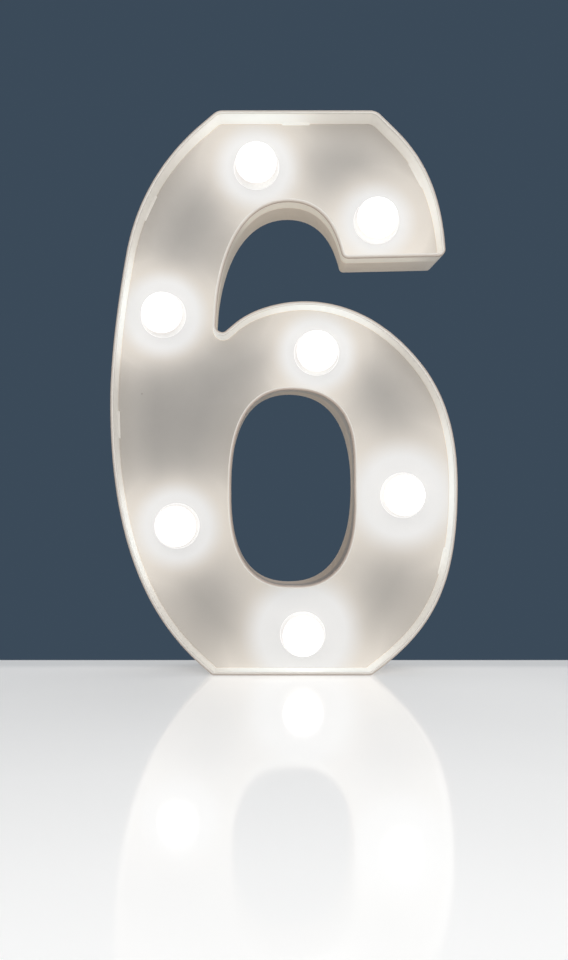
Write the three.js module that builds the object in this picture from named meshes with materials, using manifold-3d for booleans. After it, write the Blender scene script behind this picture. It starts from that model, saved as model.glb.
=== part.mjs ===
// A battery light in the shape of the digit 6: a moulded tray, a recessed face panel with seven frosted
// caps over LEDs, and on the back a compartment for two AA cells and a slide switch.
// Millimetres. +Z is up, the lit face looks along -Y, the origin is on the floor under the middle.
import * as THREE from "three";
import { mergeVertices } from "three/addons/utils/BufferGeometryUtils.js";
import Module from "manifold-3d";

// The digit
const DIGIT_HEIGHT = 220;
const DIGIT_WIDTH = 135.4;
const TOP_CORNER_RADIUS = 6;
const HOOK_CORNER_RADIUS = 3;
const BASE_CORNER_RADIUS = 2.8;
const NOTCH_RADIUS = 2.4;

// The tray
const WALL = 1.3;
const BACK_INSET = 1.2;
const BACK_THICKNESS = 1.6;
const RIM_ROUND = 0.5;
const BACK_EDGE_ROUND = 0.9;
const RIB_THICKNESS = 1.2;
const RIB_REACH = 3;
const LUG_LENGTH = 12;
const LUG_HEIGHT = 0.7;
const LUG_DEPTH = 2.4;

// The face panel and what sits in it
const PANEL_RECESS = 14;
const PANEL_THICKNESS = 1.5;
const CAP_BASE_DIAMETER = 17.6;
const CAP_SHOULDER_DIAMETER = 15.8;
const CAP_SHOULDER_HEIGHT = 8.3;
const CAP_HEIGHT = 12;
const CAP_WALL = 1.2;
const CAP_FLANGE_DIAMETER = 21;
const CAP_FLANGE_THICKNESS = 1.2;
const HOLDER_LIP_DIAMETER = 20;
const HOLDER_LIP_THICKNESS = 1.3;
const HOLDER_PLUG_LENGTH = 3;
const LED_DIAMETER = 5;
const LED_LENGTH = 8.6;
const LED_FLANGE_DIAMETER = 5.8;
const LED_FLANGE_THICKNESS = 1;
const LEG_WIDTH = 0.5;
const LEG_PITCH = 2.54;
const LEG_LENGTH = 4;
const WIRING_SPACE = 1.3;

// The cells, their contacts and their compartment
const CELL_DIAMETER = 14.5;
const CELL_LENGTH = 50.5;
const CELL_BUTTON_DIAMETER = 5.5;
const CELL_BUTTON_LENGTH = 1;
const CELL_EDGE = 0.6;
const CELL_SPACING = 0.8;
const CONTACT_THICKNESS = 0.4;
const CONTACT_WIDTH = 11;
const CONTACT_TOP_GAP = 3;
const CONTACT_TAB_WIDTH = 3;
const CONTACT_TAB_LENGTH = 1.4;
const DIMPLE_DIAMETER = 5;
const DIMPLE_TOP_DIAMETER = 2.5;
const DIMPLE_HEIGHT = 1;
const SPRING_LENGTH = 5;
const SPRING_WIRE = 0.7;
const SPRING_BASE_DIAMETER = 9.2;
const SPRING_TIP_DIAMETER = 5.2;
const SPRING_CURLS = 3.5;
const WELL_WALL = 1.2;
const DIVIDER_THICKNESS = 1.6;
const DIVIDER_HEIGHT = 3;

// The compartment's door
const DOOR_THICKNESS = 1.6;
const DOOR_SINK = 0.2;
const DOOR_LEDGE = 1;
const TAB_WIDTH = 4;
const TAB_THICKNESS = 1;
const TAB_REACH = 1.5;
const TAB_SPREAD = 20;
const LATCH_WIDTH = 9;
const LATCH_LENGTH = 8;
const LATCH_SLIT = 0.8;
const GRIP_GROOVES = 3;
const GRIP_PITCH = 2;
const GRIP_WIDTH = 0.9;
const GRIP_DEPTH = 0.5;

// The slide switch and the hole that the light hangs by
const POCKET_LENGTH = 13.6;
const POCKET_WIDTH = 8.6;
const POCKET_DEPTH = 3.4;
const SWITCH_TRAVEL = 3;
const SWITCH_LENGTH = 13;
const SWITCH_WIDTH = 6.4;
const SWITCH_DEPTH = 5.6;
const SWITCH_PLATE_THICKNESS = 0.6;
const CARRIAGE_LENGTH = 6;
const CARRIAGE_WIDTH = 3.6;
const CARRIAGE_THICKNESS = 1.9;
const KNOB_LENGTH = 3.6;
const KNOB_WIDTH = 2.4;
const KNOB_SINK = 0.5;
const PIN_PITCH = 4;
const PIN_WIDTH = 1.6;
const PIN_THICKNESS = 0.5;
const PIN_LENGTH = 3;
const SCREW_SPACING = 21.4;
const SCREW_DIAMETER = 1.9;
const SCREW_HEAD_DIAMETER = 3.8;
const SCREW_HEAD_HEIGHT = 1.4;
const SCREW_SLOT_WIDTH = 0.6;
const SCREW_LENGTH = 4.2;
const BOSS_DIAMETER = 4.8;
const KEYHOLE_DIAMETER = 8;
const KEYHOLE_SLOT_WIDTH = 4;
const KEYHOLE_SLOT_LENGTH = 8;

// The wires
const TWIN_WIDTH = 2.4;
const TWIN_THICKNESS = 1.2;
const LEAD_DIAMETER = 1.4;
const LEAD_STRAIGHT = 2.8;

// Clearances, and how finely round shapes are divided: an outline's chords stray by the sag at most
const FIT = 0.3;
const OVERRUN = 1;
const SINK_IN = 0.2;
const OUTLINE_SAG = 0.12;
const LARGEST_TURN = 18;
const TURN_SAMPLES = 8;
const CAP_SIDES = 20;
const ROUND_SIDES = 14;
const SMALL_SIDES = 12;
const WIRE_SIDES = 6;
const WIRE_STEPS = 8;
const TWIN_END_STEPS = 2;
const DOME_STEPS = 4;
const CURL_STEPS = 8;
const CURL_SIDES = 5;
const WELD_DISTANCE = 0.001;

// Depths, from the rim at the front to the back face. The housing is as deep as what it holds: the recess,
// the panel with the caps' flanges and the LEDs behind it, and the cells under their door.
const LEG_BACK_DEPTH =
  PANEL_RECESS + PANEL_THICKNESS + FIT + CAP_FLANGE_THICKNESS + FIT + HOLDER_LIP_THICKNESS + LEG_LENGTH;
const CELL_BAY_DEPTH = WELL_WALL + FIT + CELL_DIAMETER + FIT + DOOR_THICKNESS + DOOR_SINK;
const HOUSING_DEPTH = LEG_BACK_DEPTH + WIRING_SPACE + CELL_BAY_DEPTH;
const FRONT_Y = -HOUSING_DEPTH / 2;
const BACK_Y = HOUSING_DEPTH / 2;
const BACK_INNER_Y = BACK_Y - BACK_THICKNESS;
const PANEL_FRONT_Y = FRONT_Y + PANEL_RECESS;
const PANEL_BACK_Y = PANEL_FRONT_Y + PANEL_THICKNESS;
const FLANGE_FRONT_Y = PANEL_BACK_Y + FIT;
const FLANGE_BACK_Y = FLANGE_FRONT_Y + CAP_FLANGE_THICKNESS;
const LIP_FRONT_Y = FLANGE_BACK_Y + FIT;
const LIP_BACK_Y = LIP_FRONT_Y + HOLDER_LIP_THICKNESS;
const LEG_BACK_Y = LIP_BACK_Y + LEG_LENGTH;
const TWIN_Y = LEG_BACK_Y - TWIN_THICKNESS;
const DOOR_OUTER_Y = BACK_Y - DOOR_SINK;
const DOOR_INNER_Y = DOOR_OUTER_Y - DOOR_THICKNESS;
const LEDGE_Y = DOOR_INNER_Y - FIT;
const CELL_Y = DOOR_INNER_Y - FIT - CELL_DIAMETER / 2;
const WELL_FLOOR_Y = CELL_Y - CELL_DIAMETER / 2 - FIT;
const WELL_FRONT_Y = WELL_FLOOR_Y - WELL_WALL;
const POCKET_FLOOR_Y = BACK_Y - POCKET_DEPTH;
const POCKET_INNER_Y = POCKET_FLOOR_Y - BACK_THICKNESS;
const SWITCH_PLATE_Y = POCKET_INNER_Y - FIT;
const SWITCH_BODY_Y = SWITCH_PLATE_Y - SWITCH_PLATE_THICKNESS;
const SWITCH_FRONT_Y = SWITCH_BODY_Y - SWITCH_DEPTH;

// Places, as shares of the width from the middle and of the height from the floor. The bulbs are in the
// order in which the twin wires join them.
const BULB_SHARES = [
  [0.273, 0.8155],
  [-0.0805, 0.914],
  [-0.355, 0.6455],
  [-0.315, 0.263],
  [0.056, 0.0664],
  [0.3515, 0.3186],
  [0.097, 0.577],
];
const WELL_SHARES = [-0.328, 0.4645];
const SWITCH_SHARES = [-0.328, 0.691];
const KEYHOLE_SHARES = [0.045, 0.925];
const LUG_SHARES = [
  [0.033, 1],
  [-0.394, 0.841],
  [-0.491, 0.448],
  [0.461, 0.2],
  [0.396, 0.898],
];
const OUTER_RIB_SHARES = [
  [-0.13, 1],
  [0.19, 1],
  [0.45, 0.79],
  [-0.46, 0.76],
  [-0.49, 0.3],
  [-0.38, 0.12],
  [0, 0],
  [0.4, 0.1],
  [0.5, 0.4],
  [0.35, 0.59],
  [-0.04, 0.66],
  [0.02, 0.838],
  [-0.185, 0.7],
];
const OVAL_RIB_SHARES = [
  [0.017, 0.505],
  [0.2, 0.333],
  [0.014, 0.16],
];

// The rim's outer outline from the left end of the base, anticlockwise as seen from the front. A row is a
// straight line to one point, or a curve with two handles and an end, and corner rounds off its end.
const OUTLINE_START_SHARE = [-0.2062, 0];
const OUTLINE_SHARES = [
  { to: [[0.2516, 0]], corner: BASE_CORNER_RADIUS, level: true },
  { to: [[0.4253, 0.0767], [0.5, 0.1546], [0.5, 0.3342]] },
  { to: [[0.5, 0.4642], [0.4329, 0.5278], [0.3691, 0.571]] },
  { to: [[0.2786, 0.6323], [0.1723, 0.6622], [0.0589, 0.6622]] },
  { to: [[0.0188, 0.6622], [-0.0775, 0.6569], [-0.145, 0.6215]] },
  { to: [[-0.198, 0.5936]], corner: NOTCH_RADIUS },
  { to: [[-0.192, 0.6554]] },
  { to: [[-0.1894, 0.679], [-0.1639, 0.8378], [0.0136, 0.8378]] },
  { to: [[0.1352, 0.8378], [0.1573, 0.7636], [0.1691, 0.7373]], corner: HOOK_CORNER_RADIUS },
  { to: [[0.466, 0.7414]], corner: HOOK_CORNER_RADIUS },
  { to: [[0.4564, 0.8852], [0.3626, 0.9416], [0.3086, 0.9741]] },
  { to: [[0.2656, 1]], corner: TOP_CORNER_RADIUS },
  { to: [[-0.1919, 1]], corner: TOP_CORNER_RADIUS },
  { to: [[-0.2422, 0.9737]] },
  { to: [[-0.3281, 0.9288], [-0.4211, 0.8551], [-0.453, 0.7494]] },
  { to: [[-0.4614, 0.7213], [-0.5, 0.5872], [-0.5, 0.4826]] },
  { to: [[-0.5, 0.1736], [-0.3279, 0.0627], OUTLINE_START_SHARE], corner: BASE_CORNER_RADIUS },
];

// The oval opening's outline from its top, clockwise
const OVAL_START_SHARE = [0.0168, 0.5047];
const OVAL_SHARES = [
  { to: [[0.1626, 0.5047], [0.2004, 0.4213], [0.2004, 0.3334]] },
  { to: [[0.2004, 0.1584], [0.0552, 0.1599], [0.0138, 0.1599]] },
  { to: [[-0.1557, 0.1599], [-0.1516, 0.2832], [-0.1516, 0.3334]] },
  { to: [[-0.1516, 0.3799], [-0.1482, 0.5047], OVAL_START_SHARE] },
];

const MATERIALS = {
  shell: new THREE.MeshStandardMaterial({ color: 0xf1eee8, roughness: 0.42, metalness: 0 }),
  panel: new THREE.MeshStandardMaterial({ color: 0xeae7e1, roughness: 0.5, metalness: 0 }),
  frosted: new THREE.MeshStandardMaterial({ color: 0xfffdf8, roughness: 0.55, emissive: 0xfff6e6 }),
  led: new THREE.MeshStandardMaterial({ color: 0xf7f3e0, roughness: 0.15, metalness: 0 }),
  holder: new THREE.MeshStandardMaterial({ color: 0xdedbd4, roughness: 0.6, metalness: 0 }),
  cell: new THREE.MeshStandardMaterial({ color: 0x5d6a72, roughness: 0.35, metalness: 0.6 }),
  contact: new THREE.MeshStandardMaterial({ color: 0xc9ccd0, roughness: 0.25, metalness: 1 }),
  black: new THREE.MeshStandardMaterial({ color: 0x191a1c, roughness: 0.5, metalness: 0 }),
  steel: new THREE.MeshStandardMaterial({ color: 0xb4b7bb, roughness: 0.3, metalness: 1 }),
  redWire: new THREE.MeshStandardMaterial({ color: 0xa8231f, roughness: 0.45, metalness: 0 }),
  blackWire: new THREE.MeshStandardMaterial({ color: 0x222326, roughness: 0.45, metalness: 0 }),
  whiteWire: new THREE.MeshStandardMaterial({ color: 0xe4e2dc, roughness: 0.45, metalness: 0 }),
};

const wasm = await Module();
wasm.setup();

// Solids

function solidOf(geometry) {
  const bare = geometry.clone();
  bare.deleteAttribute("normal");
  bare.deleteAttribute("uv");
  const welded = mergeVertices(bare, WELD_DISTANCE);
  return new wasm.Manifold(
    new wasm.Mesh({
      numProp: 3,
      vertProperties: welded.attributes.position.array,
      triVerts: Uint32Array.from(welded.index.array),
    }),
  );
}

function geometryOf(solid) {
  const mesh = solid.getMesh();
  const geometry = new THREE.BufferGeometry();
  geometry.setAttribute("position", new THREE.BufferAttribute(mesh.vertProperties, 3));
  geometry.setIndex(new THREE.BufferAttribute(mesh.triVerts, 1));
  geometry.computeVertexNormals();
  return geometry;
}

function joined(solids) {
  return solids.reduce((whole, solid) => whole.add(solid));
}

function boxBetween(low, high) {
  const size = high.map((value, axis) => value - low[axis]);
  const geometry = new THREE.BoxGeometry(...size);
  geometry.translate(...low.map((value, axis) => value + size[axis] / 2));
  return solidOf(geometry);
}

// A box from its middle and its full size along X and Z, and its two depths.
function blockAt(place, length, height, yLow, yHigh) {
  const low = [place.x - length / 2, yLow, place.y - height / 2];
  const high = [place.x + length / 2, yHigh, place.y + height / 2];
  return boxBetween(low, high);
}

// A round bar along Y.
function barAt(place, diameter, yLow, yHigh, sides = ROUND_SIDES) {
  const geometry = new THREE.CylinderGeometry(diameter / 2, diameter / 2, yHigh - yLow, sides);
  geometry.translate(place.x, (yLow + yHigh) / 2, place.y);
  return solidOf(geometry);
}

// A turned shape about the Y axis, from its [radius, y] points.
function turned(profile, sides) {
  const points = profile.map(([radius, y]) => new THREE.Vector2(radius, y));
  return new THREE.LatheGeometry(points, sides);
}

// The points of a quarter ellipse between two axes' ends, without its first point.
function quarterRound(radius, height, centreY, steps) {
  return Array.from({ length: steps }, (_, i) => {
    const angle = ((i + 1) / steps) * (Math.PI / 2);
    return [radius * Math.cos(angle), centreY + height * Math.sin(angle)];
  });
}

// Outlines: rows of shares become curves in the XZ plane, and curves become points that know which way
// is out of the material and how much of the walls' lean they take.

function placeOf([widthShare, heightShare]) {
  return new THREE.Vector2(widthShare * DIGIT_WIDTH, heightShare * DIGIT_HEIGHT);
}

function curveFrom(start, row) {
  const points = row.to.map(placeOf);
  const end = points[points.length - 1];
  const straight = [start.clone().lerp(end, 1 / 3), start.clone().lerp(end, 2 / 3)];
  const [first, second] = points.length === 1 ? straight : points;
  return new THREE.CubicBezierCurve(start, first, second, end);
}

// The stretch of a curve between two of its parameters.
function stretchOf(curve, from, to) {
  const third = (to - from) / 3;
  const slope = (t) => {
    const rest = 1 - t;
    return new THREE.Vector2()
      .addScaledVector(curve.v1.clone().sub(curve.v0), 3 * rest * rest)
      .addScaledVector(curve.v2.clone().sub(curve.v1), 6 * rest * t)
      .addScaledVector(curve.v3.clone().sub(curve.v2), 3 * t * t);
  };
  const start = curve.getPoint(from);
  const end = curve.getPoint(to);
  const first = start.clone().addScaledVector(slope(from), third);
  const second = end.clone().addScaledVector(slope(to), -third);
  return new THREE.CubicBezierCurve(start, first, second, end);
}

function turnBetween(a, b) {
  return Math.abs(Math.atan2(a.x * b.y - a.y * b.x, a.dot(b)));
}

// The curve that rounds off the corner between two trimmed curves.
function roundingBetween(before, after, radius) {
  const start = before.getPoint(1);
  const end = after.getPoint(0);
  const leaving = before.getTangent(1);
  const arriving = after.getTangent(0);
  const reach = (4 / 3) * Math.tan(turnBetween(leaving, arriving) / 4) * radius;
  const first = start.clone().addScaledVector(leaving, reach);
  const second = end.clone().addScaledVector(arriving, -reach);
  return new THREE.CubicBezierCurve(start, first, second, end);
}

function outlineCurves(startShare, rows) {
  let start = placeOf(startShare);
  const sharp = rows.map((row) => {
    const curve = curveFrom(start, row);
    start = curve.v3;
    return curve;
  });
  const count = rows.length;
  const cornerReach = rows.map((row, i) => {
    const turn = turnBetween(sharp[i].getTangent(1), sharp[(i + 1) % count].getTangent(0));
    return row.corner ? row.corner * Math.tan(turn / 2) : 0;
  });
  const trimmed = sharp.map((curve, i) => {
    const length = curve.getLength();
    const from = curve.getUtoTmapping(cornerReach[(i + count - 1) % count] / length);
    const to = curve.getUtoTmapping(1 - cornerReach[i] / length);
    return stretchOf(curve, from, to);
  });
  return rows.flatMap((row, i) => {
    const next = (i + 1) % count;
    const lean = row.level ? 0 : 1;
    const parts = [{ curve: trimmed[i], leanFrom: lean, leanTo: lean }];
    if (row.corner) {
      const curve = roundingBetween(trimmed[i], trimmed[next], row.corner);
      parts.push({ curve, leanFrom: lean, leanTo: rows[next].level ? 0 : 1 });
    }
    return parts;
  });
}

function outlinePoints(startShare, rows) {
  return outlineCurves(startShare, rows).flatMap(({ curve, leanFrom, leanTo }) => {
    const tangents = Array.from({ length: TURN_SAMPLES + 1 }, (_, i) => curve.getTangent(i / TURN_SAMPLES));
    const turn = tangents.slice(1).reduce((sum, tangent, i) => sum + turnBetween(tangents[i], tangent), 0);
    const forSag = Math.sqrt((curve.getLength() * turn) / (8 * OUTLINE_SAG));
    const forTurn = THREE.MathUtils.radToDeg(turn) / LARGEST_TURN;
    const steps = Math.max(1, Math.ceil(forSag), Math.ceil(forTurn));
    return Array.from({ length: steps }, (_, i) => {
      const t = i / steps;
      const tangent = curve.getTangent(t);
      return {
        place: curve.getPoint(t),
        out: new THREE.Vector2(tangent.y, -tangent.x),
        lean: leanFrom + (leanTo - leanFrom) * t,
      };
    });
  });
}

const OUTER = outlinePoints(OUTLINE_START_SHARE, OUTLINE_SHARES);
const OVAL = outlinePoints(OVAL_START_SHARE, OVAL_SHARES);

// How far the walls have leaned in at a depth, starting behind the rounded rim.
function leanAt(y) {
  return (BACK_INSET * Math.max(0, y - FRONT_Y - RIM_ROUND)) / (HOUSING_DEPTH - RIM_ROUND);
}

// An outline's points at a depth, moved into the material by an inset from the wall's outer face.
function ringAt(outline, y, inset) {
  return outline.map(({ place, out, lean }) => place.clone().addScaledVector(out, -inset - lean * leanAt(y)));
}

function levelAt(y, inset) {
  return { y, loops: [ringAt(OUTER, y, inset), ringAt(OVAL, y, inset)] };
}

// A closed solid through matching loops at growing depths: an outer loop that runs anticlockwise as
// seen from the front, then holes that run clockwise.
function lofted(levels) {
  const positions = [];
  const faces = [];
  levels.forEach(({ y, loops }) => loops.flat().forEach((point) => positions.push(point.x, y, point.y)));
  const perLevel = levels[0].loops.flat().length;
  const capOf = ({ loops }) => THREE.ShapeUtils.triangulateShape(loops[0], loops.slice(1));
  capOf(levels[0]).forEach((face) => faces.push(...face));
  const backStart = perLevel * (levels.length - 1);
  const backFaces = capOf(levels[levels.length - 1]);
  backFaces.forEach(([a, b, c]) => faces.push(backStart + a, backStart + c, backStart + b));
  for (let level = 0; level + 1 < levels.length; level += 1) {
    let loopStart = perLevel * level;
    levels[level].loops.forEach((loop) => {
      loop.forEach((_, i) => {
        const here = loopStart + i;
        const next = loopStart + ((i + 1) % loop.length);
        faces.push(here, here + perLevel, next, next, here + perLevel, next + perLevel);
      });
      loopStart += loop.length;
    });
  }
  const geometry = new THREE.BufferGeometry();
  geometry.setAttribute("position", new THREE.Float32BufferAttribute(positions, 3));
  geometry.setIndex(faces);
  return solidOf(geometry);
}

function nearestOn(outline, shares) {
  const wanted = placeOf(shares);
  const fine = outline.flatMap((point, i) => {
    const next = outline[(i + 1) % outline.length];
    return [0, 1 / 4, 2 / 4, 3 / 4].map((t) => ({
      place: point.place.clone().lerp(next.place, t),
      out: point.out.clone().lerp(next.out, t).normalize(),
      lean: point.lean + (next.lean - point.lean) * t,
    }));
  });
  return fine.reduce((best, point) =>
    point.place.distanceTo(wanted) < best.place.distanceTo(wanted) ? point : best,
  );
}

// A block on the inside of a wall, between two insets at each of its two depths.
function wallBlock(station, length, levels) {
  const along = new THREE.Vector2(-station.out.y, station.out.x);
  const corner = (y, inset, side) =>
    station.place
      .clone()
      .addScaledVector(station.out, -inset - station.lean * leanAt(y))
      .addScaledVector(along, (side * length) / 2);
  return lofted(
    levels.map(({ y, from, to }) => ({
      y,
      loops: [[corner(y, from, -1), corner(y, from, 1), corner(y, to, 1), corner(y, to, -1)]],
    })),
  );
}

// The tray

const WELL = placeOf(WELL_SHARES);
const SWITCH = placeOf(SWITCH_SHARES);
const BULBS = BULB_SHARES.map(placeOf);
const CELL_PITCH = CELL_DIAMETER + CELL_SPACING;
const WELL_WIDTH = CELL_PITCH + CELL_DIAMETER + CELL_SPACING;
const CONTACT_STACK = FIT + CONTACT_THICKNESS;
const WELL_LENGTH = 2 * CONTACT_STACK + SPRING_LENGTH + DIMPLE_HEIGHT + 2 * FIT + CELL_LENGTH;
const DOOR_WIDTH = WELL_WIDTH + 2 * (DOOR_LEDGE - FIT);
const DOOR_LENGTH = WELL_LENGTH + 2 * (DOOR_LEDGE - FIT);
const DOOR_BOTTOM_Z = WELL.y - DOOR_LENGTH / 2;
const DOOR_TOP_Z = WELL.y + DOOR_LENGTH / 2;
const TAB_OUTER_Y = BACK_INNER_Y - FIT;
const TAB_INNER_Y = TAB_OUTER_Y - TAB_THICKNESS;
const TAB_SWING = Math.hypot(DOOR_OUTER_Y - TAB_INNER_Y, TAB_REACH);
const WELL_TOP_Z = WELL.y + WELL_LENGTH / 2;
const WELL_BOTTOM_Z = WELL.y - WELL_LENGTH / 2;
const CELLS = [
  { x: WELL.x - CELL_PITCH / 2, buttonUp: true },
  { x: WELL.x + CELL_PITCH / 2, buttonUp: false },
];

function trayBody() {
  const rimStep = RIM_ROUND * (1 - Math.SQRT1_2);
  const edgeStep = BACK_EDGE_ROUND * (1 - Math.SQRT1_2);
  const outside = lofted([
    levelAt(FRONT_Y, RIM_ROUND),
    levelAt(FRONT_Y + rimStep, rimStep),
    levelAt(FRONT_Y + RIM_ROUND, 0),
    levelAt(BACK_Y - BACK_EDGE_ROUND, 0),
    levelAt(BACK_Y - edgeStep, edgeStep),
    levelAt(BACK_Y, BACK_EDGE_ROUND),
  ]);
  const inside = lofted([
    levelAt(FRONT_Y - OVERRUN, WALL - RIM_ROUND),
    levelAt(FRONT_Y, WALL - RIM_ROUND),
    levelAt(FRONT_Y + rimStep, WALL - rimStep),
    levelAt(FRONT_Y + RIM_ROUND, WALL),
    levelAt(BACK_INNER_Y, WALL),
  ]);
  return outside.subtract(inside);
}

function panelRib(outline, shares) {
  const from = WALL / 2;
  const to = WALL + RIB_REACH;
  return wallBlock(nearestOn(outline, shares), RIB_THICKNESS, [
    { y: PANEL_BACK_Y + FIT, from, to },
    { y: BACK_INNER_Y + SINK_IN, from, to },
  ]);
}

function snapLug(shares) {
  const from = WALL / 2;
  const backY = PANEL_FRONT_Y - FIT;
  return wallBlock(nearestOn(OUTER, shares), LUG_LENGTH, [
    { y: backY - LUG_DEPTH, from, to: WALL - SINK_IN },
    { y: backY, from, to: WALL + LUG_HEIGHT },
  ]);
}

function tabXs() {
  return [-1, 1].map((side) => WELL.x + (side * TAB_SPREAD) / 2);
}

function cellWellCuts() {
  const recess = blockAt(WELL, DOOR_WIDTH + 2 * FIT, DOOR_LENGTH + 2 * FIT, LEDGE_Y, BACK_Y + OVERRUN);
  const hollow = blockAt(WELL, WELL_WIDTH, WELL_LENGTH, WELL_FLOOR_Y, LEDGE_Y + SINK_IN);
  const windows = tabXs().map((x) =>
    boxBetween(
      [x - TAB_WIDTH / 2 - FIT, DOOR_OUTER_Y - TAB_SWING - FIT, DOOR_BOTTOM_Z - TAB_REACH - FIT],
      [x + TAB_WIDTH / 2 + FIT, BACK_INNER_Y, WELL_BOTTOM_Z + SINK_IN],
    ),
  );
  const slots = CELLS.map(({ x }) =>
    boxBetween(
      [x - CONTACT_TAB_WIDTH / 2 - FIT, WELL_FRONT_Y - OVERRUN, WELL_TOP_Z - CONTACT_STACK - FIT],
      [x + CONTACT_TAB_WIDTH / 2 + FIT, WELL_FLOOR_Y + SINK_IN, WELL_TOP_Z],
    ),
  );
  return joined([recess, hollow, ...windows, ...slots]);
}

function cellWellBlock() {
  const margin = 2 * (DOOR_LEDGE + WELL_WALL);
  return blockAt(WELL, WELL_WIDTH + margin, WELL_LENGTH + margin, WELL_FRONT_Y, BACK_INNER_Y + SINK_IN);
}

function cellDivider() {
  const length = WELL_LENGTH - 2 * (CONTACT_STACK + FIT);
  const top = WELL_FLOOR_Y + DIVIDER_HEIGHT;
  return blockAt(WELL, DIVIDER_THICKNESS, length, WELL_FLOOR_Y - SINK_IN, top);
}

function screwPlaces() {
  return [-1, 1].map((side) => new THREE.Vector2(SWITCH.x + (side * SCREW_SPACING) / 2, SWITCH.y));
}

function switchMountBlock() {
  const pocket = blockAt(
    SWITCH,
    POCKET_LENGTH + 2 * WELL_WALL,
    POCKET_WIDTH + 2 * WELL_WALL,
    POCKET_INNER_Y,
    BACK_INNER_Y + SINK_IN,
  );
  const bosses = screwPlaces().map((place) =>
    barAt(place, BOSS_DIAMETER, POCKET_INNER_Y, BACK_INNER_Y + SINK_IN),
  );
  return joined([pocket, ...bosses]);
}

// The slot that the knob slides in, through whatever lies between two depths.
function knobSlot(yLow, yHigh) {
  return blockAt(SWITCH, KNOB_LENGTH + SWITCH_TRAVEL + 2 * FIT, KNOB_WIDTH + 2 * FIT, yLow, yHigh);
}

function switchMountCuts() {
  const pocket = blockAt(SWITCH, POCKET_LENGTH, POCKET_WIDTH, POCKET_FLOOR_Y, BACK_Y + OVERRUN);
  const yLow = POCKET_INNER_Y - OVERRUN;
  const holeBottom = SWITCH_BODY_Y + SCREW_LENGTH + FIT;
  const holes = screwPlaces().map((place) =>
    barAt(place, SCREW_DIAMETER + 2 * FIT, yLow, holeBottom, SMALL_SIDES),
  );
  return joined([pocket, knobSlot(yLow, POCKET_FLOOR_Y + OVERRUN), ...holes]);
}

function keyholeCut() {
  const place = placeOf(KEYHOLE_SHARES);
  const top = place.clone().add(new THREE.Vector2(0, KEYHOLE_SLOT_LENGTH));
  const middle = place.clone().lerp(top, 1 / 2);
  const yLow = BACK_INNER_Y - OVERRUN;
  const yHigh = BACK_Y + OVERRUN;
  return joined([
    barAt(place, KEYHOLE_DIAMETER, yLow, yHigh),
    barAt(top, KEYHOLE_SLOT_WIDTH, yLow, yHigh, SMALL_SIDES),
    blockAt(middle, KEYHOLE_SLOT_WIDTH, KEYHOLE_SLOT_LENGTH, yLow, yHigh),
  ]);
}

function housingShell() {
  const ribs = [
    ...OUTER_RIB_SHARES.map((shares) => panelRib(OUTER, shares)),
    ...OVAL_RIB_SHARES.map((shares) => panelRib(OVAL, shares)),
  ];
  const lugs = LUG_SHARES.map(snapLug);
  const filled = joined([trayBody(), cellWellBlock(), switchMountBlock(), ...ribs, ...lugs]);
  return filled.subtract(joined([cellWellCuts(), switchMountCuts(), keyholeCut()])).add(cellDivider());
}

// The face panel, the caps and the lamps behind them

function facePanel() {
  const inset = WALL + FIT;
  const rings = [ringAt(OUTER, PANEL_BACK_Y, inset), ringAt(OVAL, PANEL_BACK_Y, inset)];
  const plate = lofted([
    { y: PANEL_FRONT_Y, loops: rings },
    { y: PANEL_BACK_Y, loops: rings },
  ]);
  const holes = BULBS.map((place) =>
    barAt(place, CAP_BASE_DIAMETER + 2 * FIT, PANEL_FRONT_Y - OVERRUN, PANEL_BACK_Y + OVERRUN, CAP_SIDES),
  );
  return plate.subtract(joined(holes));
}

// The caps, holders and LEDs are turned about Y with the panel's front face at y = 0.
function capGeometry() {
  const shoulderY = -CAP_SHOULDER_HEIGHT;
  const shoulderRadius = CAP_SHOULDER_DIAMETER / 2;
  const rise = CAP_SHOULDER_HEIGHT - CAP_HEIGHT;
  const outerDome = quarterRound(shoulderRadius, rise, shoulderY, DOME_STEPS);
  const innerDome = quarterRound(shoulderRadius - CAP_WALL, rise + CAP_WALL, shoulderY, DOME_STEPS);
  const flangeFront = FLANGE_FRONT_Y - PANEL_FRONT_Y;
  const flangeBack = FLANGE_BACK_Y - PANEL_FRONT_Y;
  return turned(
    [
      ...innerDome.toReversed(),
      [shoulderRadius - CAP_WALL, shoulderY],
      [CAP_BASE_DIAMETER / 2 - CAP_WALL, 0],
      [CAP_BASE_DIAMETER / 2 - CAP_WALL, flangeBack],
      [CAP_FLANGE_DIAMETER / 2, flangeBack],
      [CAP_FLANGE_DIAMETER / 2, flangeFront],
      [CAP_BASE_DIAMETER / 2, flangeFront],
      [CAP_BASE_DIAMETER / 2, 0],
      [shoulderRadius, shoulderY],
      ...outerDome,
    ].toReversed(),
    CAP_SIDES,
  );
}

function holderGeometry() {
  const lipFront = LIP_FRONT_Y - PANEL_FRONT_Y;
  const lipBack = LIP_BACK_Y - PANEL_FRONT_Y;
  const plugRadius = CAP_BASE_DIAMETER / 2 - CAP_WALL - FIT;
  const boreRadius = LED_DIAMETER / 2 + FIT;
  const seatRadius = LED_FLANGE_DIAMETER / 2 + FIT;
  const seatY = lipBack - LED_FLANGE_THICKNESS - FIT;
  const profile = [
    [boreRadius, lipFront - HOLDER_PLUG_LENGTH],
    [plugRadius, lipFront - HOLDER_PLUG_LENGTH],
    [plugRadius, lipFront],
    [HOLDER_LIP_DIAMETER / 2, lipFront],
    [HOLDER_LIP_DIAMETER / 2, lipBack],
    [seatRadius, lipBack],
    [seatRadius, seatY],
    [boreRadius, seatY],
  ];
  return turned([...profile, profile[0]], ROUND_SIDES);
}

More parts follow.
